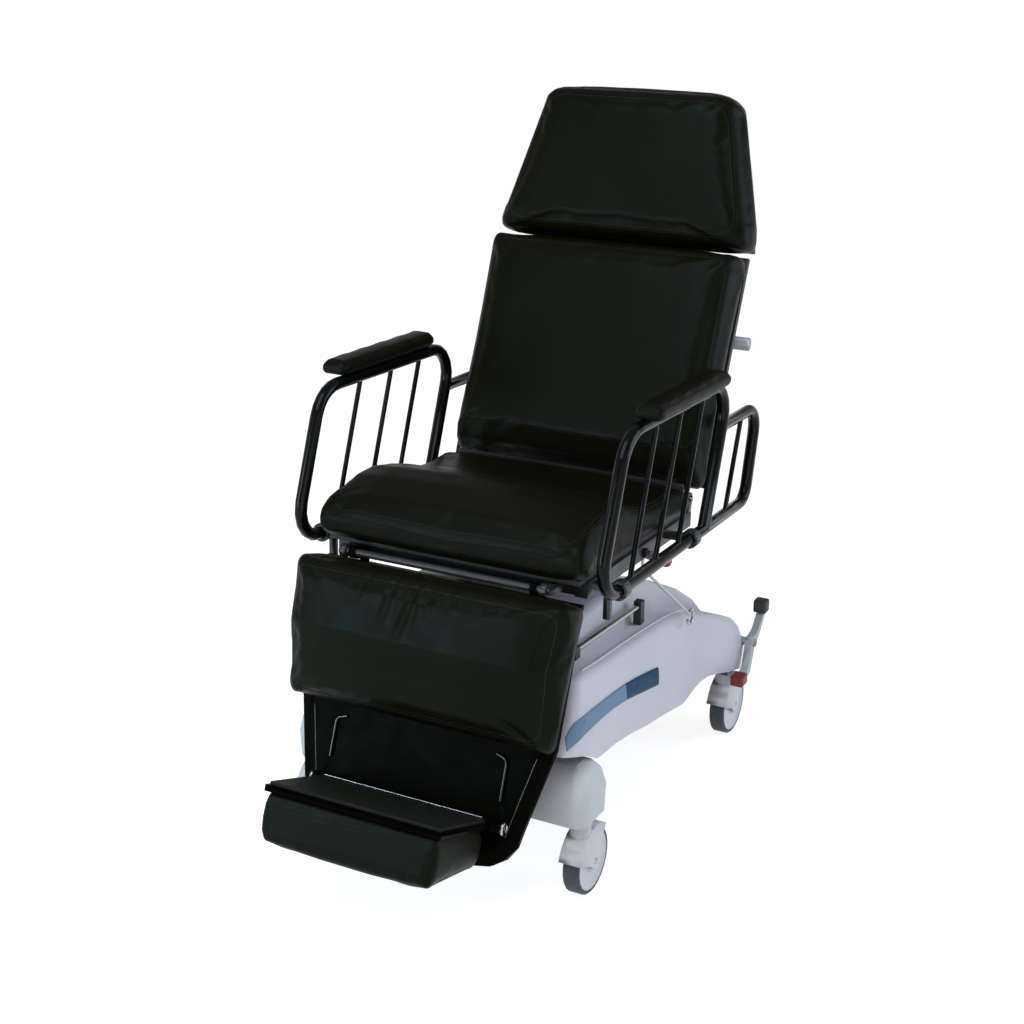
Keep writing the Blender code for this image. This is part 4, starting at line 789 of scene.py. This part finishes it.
def leaning(degrees):
    """Along a plane that leans back, and out of its front."""
    a = math.radians(degrees)
    return Vector((0, math.sin(a), math.cos(a))), Vector((0, -math.cos(a), math.sin(a)))


# The seat cushion lies on the seat board, which leans back a little, and is crowned at the
# front and behind. A narrow pad of the same vinyl sits on the top tube of each side arm.
pins = {joint["name"]: Vector(joint["pos_m"]) for joint in frame["joints"] if "pos_m" in joint}
DECK_LEAN = 2.5
SEAT_RIM = 0.009
deck_up = leaning(DECK_LEAN)[0]
deck_fore = Vector((0, -deck_up.z, deck_up.y))
seat_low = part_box("seat_pan")[0]
seat_rest = Vector((0, seat_low.y, seat_low.z + SEAT_RIM))
seat = upholstered("seat_cushion", voxel=0.0065, swell=4.0, cap=0.006, rest=seat_rest, up=deck_up)
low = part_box("seat_cushion")[0]
face = [(-0.284, -0.020), (0.284, -0.020), (0.284, 0.489), (-0.284, 0.489)]
sewn(seat, face, 0.024, 0.040, Vector((0, low.y, low.z)), -deck_fore, deck_up)
for word in ("left", "right"):
    low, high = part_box(f"arm_pad_{word}")
    arm_rest = Vector((0, high.y, low.z))
    upholstered(f"arm_pad_{word}", voxel=0.0030, swell=2.0, cap=0.0015, rest=arm_rest, up=deck_up, rounds=2)


# The back section: a welded frame behind a board, with a grey plastic-sleeved push
# handle across it, and a gas strut down to the seat frame.
BACK_LEAN = 24.5
BACK_BOARD = 0.0197
back_up, back_front = leaning(BACK_LEAN)
smooth_copy("back_frame", frame_black, 30)
back_board = smooth_copy("back_board", board_black, 35)
handle_grey = moulding_white("handle_grey", (0.54, 0.535, 0.60), (0.60, 0.595, 0.665), 0.38)
smooth_copy("push_handle", handle_grey, 45)
smooth_copy("gas_strut_cylinder", frame_black, 40)
smooth_copy("gas_strut_rod", bright_steel, 40)
hip = pins["back_recline"]


def set_out(name, kind):
    """A node tree that sets one small shape on every point, turned to face a way."""
    tree = bpy.data.node_groups.new(name, "GeometryNodeTree")
    take(tree, "Points", "NodeSocketGeometry")
    sockets = {
        "size": take(tree, "Size", "NodeSocketVector"),
        "facing": take(tree, "Facing", "NodeSocketVector"),
        "finish": take(tree, "Finish", "NodeSocketMaterial"),
    }
    tree.interface.new_socket(name="Set", in_out="OUTPUT", socket_type="NodeSocketGeometry")
    given = tree.nodes.new("NodeGroupInput")
    shape = tree.nodes.new(kind)
    turn = tree.nodes.new("FunctionNodeAlignRotationToVector")
    turn.axis = "Z"
    each = tree.nodes.new("GeometryNodeInstanceOnPoints")
    whole = tree.nodes.new("GeometryNodeRealizeInstances")
    painted = tree.nodes.new("GeometryNodeSetMaterial")
    made = tree.nodes.new("NodeGroupOutput")
    tree.links.new(given.outputs["Points"], each.inputs["Points"])
    tree.links.new(shape.outputs["Mesh"], each.inputs["Instance"])
    tree.links.new(given.outputs["Facing"], turn.inputs["Vector"])
    tree.links.new(turn.outputs["Rotation"], each.inputs["Rotation"])
    tree.links.new(given.outputs["Size"], each.inputs["Scale"])
    tree.links.new(each.outputs["Instances"], whole.inputs["Geometry"])
    tree.links.new(whole.outputs["Geometry"], painted.inputs["Geometry"])
    tree.links.new(given.outputs["Finish"], painted.inputs["Material"])
    tree.links.new(painted.outputs["Geometry"], made.inputs["Set"])
    return tree, sockets


SCREW_SIZE = (0.0055, 0.0055, 0.0022)
guide_steel, tree, shader, place = finish_named("guide_steel", (0.080, 0.082, 0.084), 0.24, 1.0)
worn(tree, shader, place, 0.18, 0.28, 90)
heads, head_inputs = set_out("screw_heads", "GeometryNodeMeshUVSphere")


def screwed(name, board, spots, start, up, front, body):
    """Round screw heads on the face of a board, at places in its own plane."""
    points = bpy.data.meshes.new(name)
    points.from_pydata(laid_on(board, spots, start, up, front, 0.0), [], [])
    values = {
        head_inputs["size"]: SCREW_SIZE,
        head_inputs["facing"]: front,
        head_inputs["finish"]: guide_steel,
    }
    grown(name, points, heads, values, body)


rear_spots = [(x, u) for x in (-0.262, 0.262) for u in (0.05, 0.16, 0.27, 0.38, 0.48)]
screwed("back_screws", back_board, rear_spots, hip, back_up, -back_front, "back")
back_rest = hip - BACK_BOARD * back_front
back = upholstered("back_cushion", voxel=0.0060, swell=4.0, cap=0.006, rest=back_rest, up=back_front)
face = [(-0.286, 0.070), (0.286, 0.070), (0.286, 0.503), (-0.286, 0.503)]
sewn(back, face, 0.016, 0.030, hip, back_up, back_front)


# The head section is a tapered pad on its own board, on a pin behind the back. Six screws
# hold the pad to the board.
HEAD_LEAN = 17.5
HEAD_BOARD = 0.0052
head_up, head_front = leaning(HEAD_LEAN)
head_board = smooth_copy("head_board", board_black, 35)
neck = pins["head_tilt"]
head_spots = [(-0.20, 0.05), (0.20, 0.05), (-0.19, 0.17), (0.19, 0.17), (-0.17, 0.28), (0.17, 0.28)]
screwed("head_screws", head_board, head_spots, neck, head_up, -head_front, head_board["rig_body"])
head_rest = neck - HEAD_BOARD * head_front
head = upholstered("head_cushion", voxel=0.0055, swell=4.0, cap=0.006, rest=head_rest, up=head_front)
face = [(-0.288, 0.016), (0.288, 0.016), (0.226, 0.331), (-0.226, 0.331)]
sewn(head, face, 0.020, 0.045, neck, head_up, head_front)


# The leg rest hangs from the knee pin: a pressed gloss black panel with two bright wire
# guides for the footrest, and a folded pad whose cover puckers at the top.
LEG_LEAN = 22
PANEL_FACE = -0.034
CALF_GAP = 0.0003
leg_up, leg_front = leaning(LEG_LEAN)
knee = pins["leg_raise"]
panel_black, tree, shader, place = finish_named("panel_black", (0.0050, 0.0054, 0.0048), 0.34)
shader.inputs["Specular IOR Level"].default_value = 0.012
mottled(tree, shader, place, (0.0016, 0.0019, 0.0009), (0.0026, 0.0030, 0.0016), 11)
worn(tree, shader, place, 0.28, 0.42, 30)
raise_by(tree, shader, speckle(tree, place, 420, 2.0), 0.00015, 0.15)
panel = smooth_copy("leg_panel", panel_black, 38)

FOLDS = [
    (-0.107, -0.40, 0.060, 0.0024),
    (-0.053, -0.19, 0.090, 0.0030),
    (-0.005, -0.25, 0.120, 0.0034),
    (0.0215, 0.02, 0.060, 0.0022),
    (0.056, 0.30, 0.050, 0.0018),
]
FOLD_TOP = 0.026
FOLD_WIDTH = 0.0075
FOLD_LEAD = 0.25
FOLD_END = 0.20
FACE_DEPTH = 0.02
CREASE_AT = 0.140
CREASE_REACH = 0.055
CREASE_LIFT = 0.0050


def pucker(mesh):
    """Shallow folds fan down from the gathered top edge to the crease across the pad."""
    for v in mesh.vertices:
        down = (knee - v.co).dot(leg_up)
        if (v.co - knee).dot(leg_front) < FACE_DEPTH or down > FOLD_END:
            continue
        dent = 0.0
        for start, slope, length, depth in FOLDS:
            along = (down - FOLD_TOP) / length
            if -FOLD_LEAD < along < 1:
                aside = v.co.x - start - slope * (down - FOLD_TOP)
                fade = math.sin(math.pi * min(1.0, (along + FOLD_LEAD) / (1 + FOLD_LEAD))) ** 0.7
                narrow = FOLD_WIDTH * (0.7 + 0.6 * max(0.0, along))
                dent += depth * fade * math.exp(-((aside / narrow) ** 2))
                dent -= 0.5 * depth * fade * math.exp(-(((aside - 2.0 * narrow) / narrow) ** 2))
        across = 1 - abs(down - CREASE_AT) / CREASE_REACH
        v.co += leg_front * (CREASE_LIFT * max(0.0, across) - dent)


calf_rest = knee + (PANEL_FACE + CALF_GAP) * leg_front
calf = upholstered(
    "leg_cushion", voxel=0.0050, swell=3.0, cap=0.005, rest=calf_rest, up=leg_front, folds=pucker
)
face = [(-0.278, -0.284), (0.278, -0.284), (0.290, -0.017), (-0.290, -0.017)]
sewn(calf, face, 0.015, 0.022, knee, leg_up, leg_front)


# Two bright wire guides for the footrest stand on the panel, bent in at the top
# and welded at both ends. A plated bead trims each edge of the panel.
GUIDE_RADIUS = 0.0027
GUIDE_LIFT = 0.0035
GUIDE_ROUTE = [(0.182, 0.388), (0.182, 0.3225), (0.1805, 0.3165), (0.1760, 0.3118), (0.160, 0.3070)]
TRIM_RADIUS = 0.0009
TRIM_INSET = 0.026
TRIM_RUN = (0.300, 0.450)
TRIM_DEPTH = 0.043
TRIM_STEPS = 30
TRIM_ABOVE = 0.1
panel_skin = skin_of(panel)
for side, word in ((1, "left"), (-1, "right")):
    across = Vector((side, 0, 0))
    route = [knee + x * across - s * leg_up + (PANEL_FACE + GUIDE_LIFT) * leg_front for x, s in GUIDE_ROUTE]
    wire(f"foot_guide_{word}", route, GUIDE_RADIUS, guide_steel, "leg")
    trim = []
    for i in range(TRIM_STEPS + 1):
        s = TRIM_RUN[0] + (TRIM_RUN[1] - TRIM_RUN[0]) * i / TRIM_STEPS
        beside = knee - s * leg_up - TRIM_DEPTH * leg_front
        edge = panel_skin.ray_cast(beside + REACH * across, -across)[0]
        over = Vector((edge.x - TRIM_INSET * side, beside.y, beside.z)) + TRIM_ABOVE * leg_front
        trim.append(panel_skin.ray_cast(over, -leg_front)[0])
    wire(f"panel_trim_{word}", trim, TRIM_RADIUS, guide_steel, "leg")


# The footrest: a pressed tray on the foot pin with a ribbed rubber mat on top, and a
# padded bumper under it.
mat_black, tree, shader, place = finish_named("mat_black", (0.007, 0.008, 0.006), 0.62)
shader.inputs["Specular IOR Level"].default_value = 0.12
mottled(tree, shader, place, (0.0065, 0.0080, 0.0055), (0.0115, 0.0135, 0.0095), 60)
worn(tree, shader, place, 0.5, 0.75, 260)
raise_by(tree, shader, cells(tree, place, 300), 0.0006, 0.4)
RIB_SIZE = (0.33, 0.0026, 0.0016)
RIB_COUNT = 13
RIB_START = 0.7
RIB_SLACK = 0.4
TOP_SHARE = 0.2
ROD_RADIUS = 0.0017
ROD_HALF = 0.168
ROD_OFFSET = (0.003, 0.0005)
WASHER_RADIUS = 0.0105
WASHER_WIRE = 0.0030
WASHER_STEPS = 24
smooth_copy("footrest_tray", panel_black, 38)
mat = smooth_copy("footrest_mat", mat_black, 38)
foot_body = mat["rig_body"]
corners = [v.co for v in mat.data.vertices]
rear_top = max(corners, key=lambda co: co.y + TOP_SHARE * co.z)
front_top = min(corners, key=lambda co: co.y - TOP_SHARE * co.z)
slope = rear_top - front_top
slope.x = 0
mat_up = Vector((0, -slope.z, slope.y)).normalized()
rib_points = []
for i in range(RIB_COUNT):
    share = (i + RIB_START) / (RIB_COUNT + RIB_SLACK)
    rib_points.append(Vector((0, front_top.y, front_top.z)) + slope * share)
ribs, rib_inputs = set_out("mat_ribs", "GeometryNodeMeshCube")
rib_mesh = bpy.data.meshes.new("mat_ribs")
rib_mesh.from_pydata(rib_points, [], [])
rib_values = {rib_inputs["size"]: RIB_SIZE, rib_inputs["facing"]: mat_up, rib_inputs["finish"]: mat_black}
grown("mat_ribs", rib_mesh, ribs, rib_values, foot_body)
rod_place = Vector((0, rear_top.y + ROD_OFFSET[0], rear_top.z + ROD_OFFSET[1]))
rod_ends = [rod_place + Vector((x, 0, 0)) for x in (-ROD_HALF, ROD_HALF)]
wire("foot_hinge_rod", rod_ends, ROD_RADIUS, bright_steel, foot_body)
foot_axis = pins["foot_fold"]
upholstered("footrest_pad", voxel=0.0040, swell=2.5, cap=0.002, rest=foot_axis, up=-leg_up, rounds=2)
pin_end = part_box("foot_pin")[1].x
for side, word in ((1, "left"), (-1, "right")):
    ring = []
    for i in range(WASHER_STEPS):
        a = math.tau * i / WASHER_STEPS
        spoke = Vector((0, math.cos(a), math.sin(a)))
        ring.append(Vector((side * pin_end, foot_axis.y, foot_axis.z)) + WASHER_RADIUS * spoke)
    wire(f"foot_washer_{word}", ring, WASHER_WIRE, bright_steel, "leg", True)
